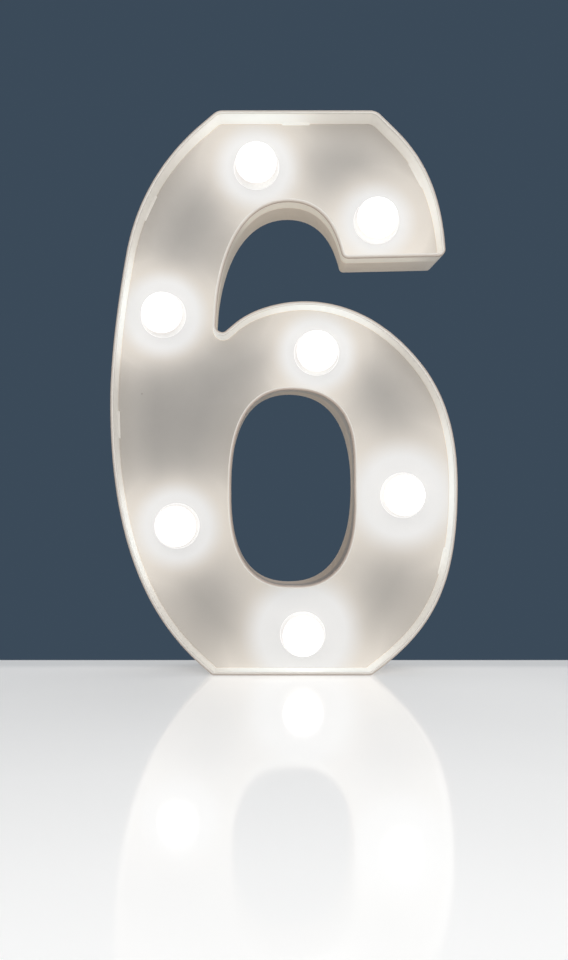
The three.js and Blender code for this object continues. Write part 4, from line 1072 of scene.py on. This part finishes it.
def make_panel(material):
    mould = Mould()
    inset = WALL + PANEL_GAP
    levels = [(PANEL_FRONT_Y + up, inset + extra) for up, extra in edge_levels(FINE_EDGE)]
    levels.append((PANEL_BACK_Y, inset))
    rims = []
    for outline in (OUTER, OVAL):
        rims.append(mould.bands([mould.ring(wall_loop(outline, PANEL_BACK_Y, i), y) for y, i in levels]))
    loops = [circle(bulb, CAP_BASE_DIAMETER / 2 + FIT, CAP_SIDES) for bulb in BULBS]
    fronts, backs = zip(*[mould.hole(loop, PANEL_FRONT_Y, PANEL_BACK_Y) for loop in loops])
    mould.flat(rims[0][0], rims[1][0], *fronts)
    mould.flat(rims[0][-1], rims[1][-1], *backs)
    make("panel", mould, material, "panel_plastic", "face_panel")


def dome(radius, rise, level):
    """A quarter ellipse's (radius, level) points, from its shoulder to its tip on the axis."""
    angles = np.linspace(0, pi / 2, DOME_STEPS + 1)[1:-1]
    return [(radius * cos(a), level - rise * sin(a)) for a in angles] + [(0, level - rise)]


def cap_profile(flange_radius, flange_back):
    shoulder = PANEL_FRONT_Y - CAP_SHOULDER_HEIGHT
    rise = CAP_HEIGHT - CAP_SHOULDER_HEIGHT
    radius = CAP_SHOULDER_DIAMETER / 2
    base = CAP_BASE_DIAMETER / 2
    flange_front = flange_back - CAP_FLANGE_THICKNESS
    flange = [(flange_radius, flange_back), (flange_radius, flange_front), (base, flange_front)]
    outside = [(base, PANEL_FRONT_Y), (radius, shoulder), *dome(radius, rise, shoulder)]
    inner = base - CAP_WALL
    inside = [(inner, flange_back), (inner, PANEL_FRONT_Y), (radius - CAP_WALL, shoulder)]
    inside += dome(radius - CAP_WALL, rise - CAP_WALL, shoulder)
    return [*flange, *outside, *reversed(inside)]


def make_caps(material):
    for i, node in enumerate(numbered("bulb_cap_")):
        low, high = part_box(node)
        profile = cap_profile((high.x - low.x) / 2, high.y)
        mould = Mould().turn(profile, BULBS[i], CAP_SIDES, closed=True)
        make(f"lit_cap_{i + 1}", mould, material, "frosted_plastic", node)


# The door


def door_loop():
    x = WELL[0]
    edge = DOOR_WIDTH / 2
    latch = LATCH_WIDTH / 2
    slit = latch + LATCH_SLIT
    foot_z = DOOR_TOP_Z - LATCH_LENGTH
    right = [
        ((edge, DOOR_BOTTOM_Z), DOOR_CORNER),
        ((edge, DOOR_TOP_Z), DOOR_CORNER),
        ((slit, DOOR_TOP_Z), SOFT_EDGE),
        ((slit, foot_z), SOFT_EDGE),
        ((latch, foot_z), SOFT_EDGE),
        ((latch, DOOR_TOP_Z), SOFT_EDGE),
    ]
    left = [((-u, z), radius) for (u, z), radius in reversed(right)]
    return rounded([(x + u, z) for (u, z), _ in right + left], [radius for _, radius in right + left])


def door_marks():
    """The grooves on the latch and the arrow below it, as loops and depths."""
    length = LATCH_WIDTH - 2 * GRIP_WIDTH
    marks = []
    for i in range(GRIP_GROOVES):
        place = (WELL[0], DOOR_TOP_Z - (i + 1) * GRIP_PITCH)
        marks.append((rectangle(place, length, GRIP_WIDTH, GRIP_WIDTH / 3), GRIP_DEPTH))
    x, tip_z = WELL[0], DOOR_TOP_Z - ARROW_PLACE - ARROW_HEIGHT
    base_z = DOOR_TOP_Z - ARROW_PLACE
    corners = [(x, tip_z), (x + ARROW_WIDTH / 2, base_z), (x - ARROW_WIDTH / 2, base_z)]
    marks.append((rounded(corners, SOFT_EDGE), MARK_DEPTH))
    return marks


def make_door(material):
    plate = Mould()
    rings = plate.sides(door_loop(), DOOR_INNER_Y, DOOR_OUTER_Y, high_edge=SOFT_EDGE)
    plate.flat(rings[0])
    marks = [plate.pocket(loop, DOOR_OUTER_Y, DOOR_OUTER_Y - depth) for loop, depth in door_marks()]
    plate.flat(rings[-1], *marks)
    for x in tab_xs():
        tongue = rectangle((x, DOOR_BOTTOM_Z), TAB_WIDTH, 2 * TAB_REACH, SOFT_EDGE)
        neck_centre = (x, DOOR_BOTTOM_Z + TAB_REACH / 2)
        neck = rectangle(neck_centre, TAB_WIDTH - 2 * FINE_EDGE, TAB_REACH - 2 * FINE_EDGE, SOFT_EDGE)
        plate.block(tongue, TAB_INNER_Y, TAB_OUTER_Y)
        plate.block(neck, TAB_OUTER_Y - OVERLAP, DOOR_INNER_Y + OVERLAP)
    make("cell_door", plate, material, "shell_plastic", "battery_door", "door")


# The switch's slider


def make_slider(material):
    place = face_place("switch_slider")
    low, high = SLIDER_LOW.y, SLIDER_HIGH.y
    carriage = rectangle(place, CARRIAGE_LENGTH, CARRIAGE_WIDTH, SOFT_EDGE)
    knob = rectangle(place, KNOB_LENGTH, KNOB_WIDTH, SOFT_EDGE)
    mould = Mould().block(carriage, low, low + CARRIAGE_THICKNESS)
    mould.block(knob, low + CARRIAGE_THICKNESS - OVERLAP, high - RIDGE_HEIGHT)
    reach = (KNOB_LENGTH - RIDGE_WIDTH) / 2 - FINE_EDGE
    for x in np.linspace(-reach, reach, KNOB_RIDGES):
        ridge = rectangle(place + (x, 0), RIDGE_WIDTH, KNOB_WIDTH - 2 * FINE_EDGE, RIDGE_WIDTH / 3)
        mould.block(ridge, high - 2 * RIDGE_HEIGHT, high)
    make("slider", mould, material, "black_plastic", "switch_slider", "slider")


# The cells and their contacts


def placed(profile, z, way):
    """A profile's (radius, height) points, with its heights counted from a level one way or the other."""
    return [(radius, z + way * height) for radius, height in profile]


def can_profile(length):
    radius = CELL_DIAMETER / 2 - JACKET_THICKNESS
    end = CELL_END_DIAMETER / 2
    shoulder = length - CELL_BUTTON_LENGTH
    button = CELL_BUTTON_DIAMETER / 2
    edge = CELL_EDGE
    foot = [(0, 0), (end - edge, 0), (end - edge / 2, edge / 4), (end, edge / 2), (radius, edge)]
    head = [(radius, shoulder - edge), (end, shoulder - edge / 2), (end - edge, shoulder - edge / 2)]
    head += [(button + FINE_EDGE, shoulder - edge / 4), (button, shoulder), (button, length - SOFT_EDGE)]
    tip = [(button - SOFT_EDGE / 4, length - SOFT_EDGE / 4), (button - SOFT_EDGE, length), (0, length)]
    return foot + head + tip


def jacket_profile(length):
    radius = CELL_DIAMETER / 2
    end = CELL_END_DIAMETER / 2
    shoulder = length - CELL_BUTTON_LENGTH
    low = CELL_EDGE / 4
    foot = [(radius - inset, low + up) for up, inset in edge_levels(CELL_EDGE, ROUND_STEPS)]
    head = [(r, shoulder - (s - low)) for r, s in reversed(foot)]
    inner = radius - 2 * JACKET_THICKNESS
    start = [(end, low + JACKET_THICKNESS), (end + FINE_EDGE, low)]
    finish = [(end + FINE_EDGE, shoulder), (end, shoulder - JACKET_THICKNESS)]
    return [*start, *foot, *head, *finish, (inner, shoulder - CELL_EDGE), (inner, low + CELL_EDGE)]


def bent_bar(centre, middle_z, width, height):
    """A bar printed round the side of a cell that faces the back."""
    mould = Mould()
    rings = []
    for turn in np.linspace(-width, width, CORNER_STEPS + 1) / CELL_DIAMETER:
        corners = []
        for rise, side in ((0, -1), (MARK_HEIGHT, -1), (MARK_HEIGHT, 1), (0, 1)):
            reach = CELL_DIAMETER / 2 + rise - FINE_EDGE / 4
            x, y = centre[0] + reach * sin(turn), centre[1] + reach * cos(turn)
            corners.append((x, y, middle_z + side * height / 2))
        rings.append(mould.add(corners))
    return mould.capped(mould.bands(rings))


def make_cells(steel, ink):
    """The two cells. The first has its button up, the second down."""
    for i, node in enumerate(numbered("battery_")):
        low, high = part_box(node)
        flat_z, button_z, way = (low.z, high.z, 1) if i == 0 else (high.z, low.z, -1)
        length = abs(button_z - flat_z)
        centre = (CELL_XS[i], CELL_Y)
        can, sleeve = (placed(profile(length), flat_z, way) for profile in (can_profile, jacket_profile))
        can = Mould("z").turn(can, centre, CELL_SIDES)
        sleeve = Mould("z").turn(sleeve, centre, CELL_SIDES, closed=True)
        film = jacket_film(f"jacket_film_{i + 1}", flat_z, button_z)
        plus_z = button_z - way * PLUS_PLACE
        signs = together(
            bent_bar(centre, plus_z, MARK_LENGTH, MARK_WIDTH),
            bent_bar(centre, plus_z, MARK_WIDTH, MARK_LENGTH),
            bent_bar(centre, flat_z + way * MINUS_PLACE, MARK_LENGTH, MARK_WIDTH),
        )
        for name, mould, material in (("can", can, steel), ("jacket", sleeve, film), ("signs", signs, ink)):
            make(f"cell_{name}_{i + 1}", mould, material, "cell_jacket", node)


def contact_plate(x, face_z, way, length, has_tab):
    """A plate whose face looks along Z one way or the other."""
    low = WELL_FLOOR_Y + FIT
    high = LEDGE_Y - CONTACT_TOP_GAP
    levels = sorted([face_z, face_z - way * CONTACT_THICKNESS])
    loop = rectangle((x, (low + high) / 2), length, high - low, CONTACT_THICKNESS)
    plate = Mould("z").block(loop, *levels)
    if has_tab:
        tip, root = WELL_FRONT_Y - CONTACT_TAB_LENGTH, low + OVERLAP
        tab = rectangle((x, (tip + root) / 2), CONTACT_TAB_WIDTH, root - tip, CONTACT_THICKNESS)
        plate.block(tab, *levels)
    return plate


def spring(x, face_z, way):
    t = np.linspace(0, 1, round(SPRING_CURLS * CURL_STEPS) + 1)
    angle = 2 * pi * SPRING_CURLS * t
    base, tip = (SPRING_BASE_DIAMETER - SPRING_WIRE) / 2, (SPRING_TIP_DIAMETER - SPRING_WIRE) / 2
    radius = base + (tip - base) * t
    low, high = SPRING_WIRE / 2 - OVERLAP, SPRING_LENGTH - SPRING_WIRE / 2
    height = low + (high - low) * t
    path = [x + radius * np.cos(angle), CELL_Y + radius * np.sin(angle), face_z + way * height]
    return tube(np.stack(path, axis=1), SPRING_WIRE)


def dimple(x, face_z, way):
    """A button pressed up from a contact's plate, with soft bends at its foot and top."""
    foot, top = DIMPLE_DIAMETER / 2, DIMPLE_TOP_DIAMETER / 2
    steps = np.linspace(0, 1, ROUND_STEPS + 1)
    slope = [(foot + (top - foot) * t, DIMPLE_HEIGHT * t * t * (3 - 2 * t)) for t in steps]
    profile = [(0, -OVERLAP), (foot, -OVERLAP), *slope, (0, DIMPLE_HEIGHT)]
    return Mould("z").turn(placed(profile, face_z, way), (x, CELL_Y), SMALL_SIDES)


def make_contacts(material):
    left, right = CELL_XS
    low = (WELL_BOTTOM_Z + CONTACT_STACK, 1)
    high = (WELL_TOP_Z - CONTACT_STACK, -1)
    bridge = contact_plate(WELL[0], *low, right - left + CONTACT_WIDTH, False)
    pieces = {
        "contact_bridge": [bridge, spring(left, *low), dimple(right, *low)],
        "positive_contact": [contact_plate(left, *high, CONTACT_WIDTH, True), dimple(left, *high)],
        "spring_contact": [contact_plate(right, *high, CONTACT_WIDTH, True), spring(right, *high)],
    }
    for node, moulds in pieces.items():
        make(f"{node}_formed", together(*moulds), material, "contact_metal", node)


# The wires


def wire_axes():
    """The direction in which the twin wires pass each bulb."""
    axes = []
    for i, here in enumerate(BULBS):
        into = unit(here - BULBS[i - 1]) if i > 0 else 0
        out_of = unit(BULBS[i + 1] - here) if i + 1 < len(BULBS) else 0
        axes.append(unit(into + out_of))
    return axes


def twin_wire(here, axis, there, there_axis):
    """Two coverings side by side, from one bulb's legs to the next."""
    clear = LEG_WIDTH / 2 + FIT
    start, end = here + clear * axis, there - clear * there_axis
    reach = norm(end - start) / 3
    curve = np.array([start, start + reach * axis, end - reach * there_axis, end])
    t = np.linspace(0, 1, WIRE_STEPS + 1)
    places = point_on(curve, t)
    slopes = slope_on(curve, t)
    sides = np.stack([slopes[:, 1], -slopes[:, 0]], axis=1) / norm(slopes, axis=1)[:, None]
    tubes = []
    for side in (-1, 1):
        row = places + side * TWIN_THICKNESS / 2 * sides
        path = np.stack([row[:, 0], np.full(len(row), TWIN_Y), row[:, 1]], axis=1)
        tubes.append(tube(path, TWIN_THICKNESS))
    return together(*tubes)


def leg_end(i, axis, side):
    """Where a lead comes to a bulb's leg and where it ends, on one side of the twin wires' direction."""
    outward = side * np.array([axis[1], 0, -axis[0]])
    end = np.array([BULBS[i][0], TWIN_Y, BULBS[i][1]]) + outward * (LEG_PITCH / 2 + LEG_WIDTH / 2 + FIT)
    return [end + outward * LEAD_STRAIGHT, end]


def lead_paths(axes):
    """The leads' places: from the positive contact to the switch, and from the switch and the spring
    contact to the bulb that is nearest to the switch."""
    gap = LEAD_DIAMETER / 2 + FIT
    up = np.array([0, 0, LEAD_STRAIGHT])
    positive, negative = (np.array([x, WELL_FRONT_Y - gap, WELL_TOP_Z]) for x in CELL_XS)
    middle_pin = np.array([SWITCH[0], PIN_TIP_Y + gap, SWITCH[1] - PIN_THICKNESS / 2 - FIT])
    side_pin = middle_pin - (PIN_PITCH, 0, 0)
    fed = min(range(len(BULBS)), key=lambda i: norm(BULBS[i] - SWITCH))
    first_leg, second_leg = (leg_end(fed, axes[fed], side) for side in (1, -1))
    halfway_z = (positive[2] + middle_pin[2]) / 2
    rising = (positive[0] + LEAD_DIAMETER, middle_pin[1] - LEAD_DIAMETER, halfway_z)
    turning = (*(negative[:2] + second_leg[0][:2]) / 2, second_leg[0][2] + LEAD_DIAMETER)
    return {
        "battery_lead": [positive, positive + up, rising, middle_pin - up, middle_pin],
        "switch_lead": [side_pin, side_pin - up, (side_pin + first_leg[0]) / 2, *first_leg],
        "return_lead": [negative, negative + up, turning, *second_leg],
    }


def make_wires(white, red, black):
    axes = wire_axes()
    for i, node in enumerate(numbered("string_wire_")):
        wire = twin_wire(BULBS[i], axes[i], BULBS[i + 1], axes[i + 1])
        make(f"twin_wire_{i + 1}", wire, white, "white_insulation", node)
    for node, places in lead_paths(axes).items():
        finish = (black, "black_insulation") if node == "return_lead" else (red, "red_insulation")
        make(f"{node}_wire", tube(smooth_path(places), LEAD_DIAMETER), *finish, node)


def finish_nodes(nodes, material):
    """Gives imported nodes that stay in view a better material."""
    for node in nodes:
        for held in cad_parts[node].material_slots:
            held.material = material


# The stage


def make_floor():
    centre = (0, (FLOOR_FRONT_Y + FLOOR_BACK_Y) / 2)
    loop = rectangle(centre, FLOOR_LENGTH, FLOOR_BACK_Y - FLOOR_FRONT_Y, FLOOR_CORNER)
    slab = Mould("z").block(loop, -FLOOR_THICKNESS, 0, high_edge=FLOOR_EDGE)
    put("floor", shaded(mesh_of(slab, "floor"), floor_paint()))


def make_lamps():
    for i, (place, size, power) in enumerate(LAMPS_AT):
        light = bpy.data.lights.new(f"lamp_{i + 1}", "AREA")
        light.size = size
        light.energy = power
        lamp = put(light.name, light)
        lamp.location = place
        aim = Vector(LAMP_TARGET) - lamp.location
        lamp.rotation_euler = aim.to_track_quat("-Z", "Y").to_euler()


def make_world():
    """A plain backdrop where it is seen, and plain soft light for the rest."""
    world = bpy.data.worlds.new("studio")
    world.use_nodes = True
    bpy.context.scene.world = world
    nodes = Nodes(world.node_tree)
    ambient = nodes.node("Background", {"Color": (1, 1, 1), "Strength": AMBIENT_STRENGTH})
    backdrop = nodes.node("Background", {"Color": BACKDROP_COLOUR})
    choice = nodes.node("MixShader", {0: nodes.seen(), 1: ambient.outputs[0], 2: backdrop.outputs[0]})
    nodes.feed(nodes.tree.nodes["World Output"].inputs["Surface"], choice.outputs[0])


def make_camera():
    data = bpy.data.cameras.new("camera")
    data.lens = CAMERA_LENS
    data.sensor_width = CAMERA_SENSOR
    data.shift_x, data.shift_y = (pixels / FRAME_HEIGHT for pixels in FRAME_SHIFT)
    camera = put("camera", data)
    camera.location = CAMERA_PLACE
    camera.rotation_euler = (pi / 2, 0, 0)
    bpy.context.scene.camera = camera


make_camera()
shell = shell_plastic()
black = moulded_plastic("black_plastic", (0.028, 0.028, 0.03), (0.02, 0.02, 0.022), grain=3000).material
holder = moulded_plastic("holder_plastic", (0.7, 0.685, 0.66), (0.66, 0.645, 0.62)).material
contact_metal = metal("contact_metal", (0.62, 0.63, 0.64), 0.24, scratches=(1, 1, 0.08))
white = insulation("white_insulation", (0.78, 0.76, 0.72))
red = insulation("red_insulation", (0.36, 0.018, 0.014))
make_tray(shell, insulation("word_ink", (0.1, 0.1, 0.105)))
make_panel(panel_plastic())
make_caps(frosted_plastic())
make_door(shell)
make_slider(black)
make_cells(metal("can_steel", (0.66, 0.66, 0.65), 0.22), insulation("sign_ink", (0.8, 0.8, 0.78)))
make_contacts(contact_metal)
make_wires(white, red, insulation("black_insulation", (0.016, 0.016, 0.018)))
finish_nodes(numbered("led_"), led_resin())
finish_nodes(numbered("led_holder_"), holder)
finish_nodes(numbered("switch_screw_"), metal("screw_steel", (0.5, 0.51, 0.52), 0.3))
finish_nodes(["switch_body"], black)
make_floor()
make_lamps()
make_world()
bpy.context.scene.view_settings.view_transform = "Standard"
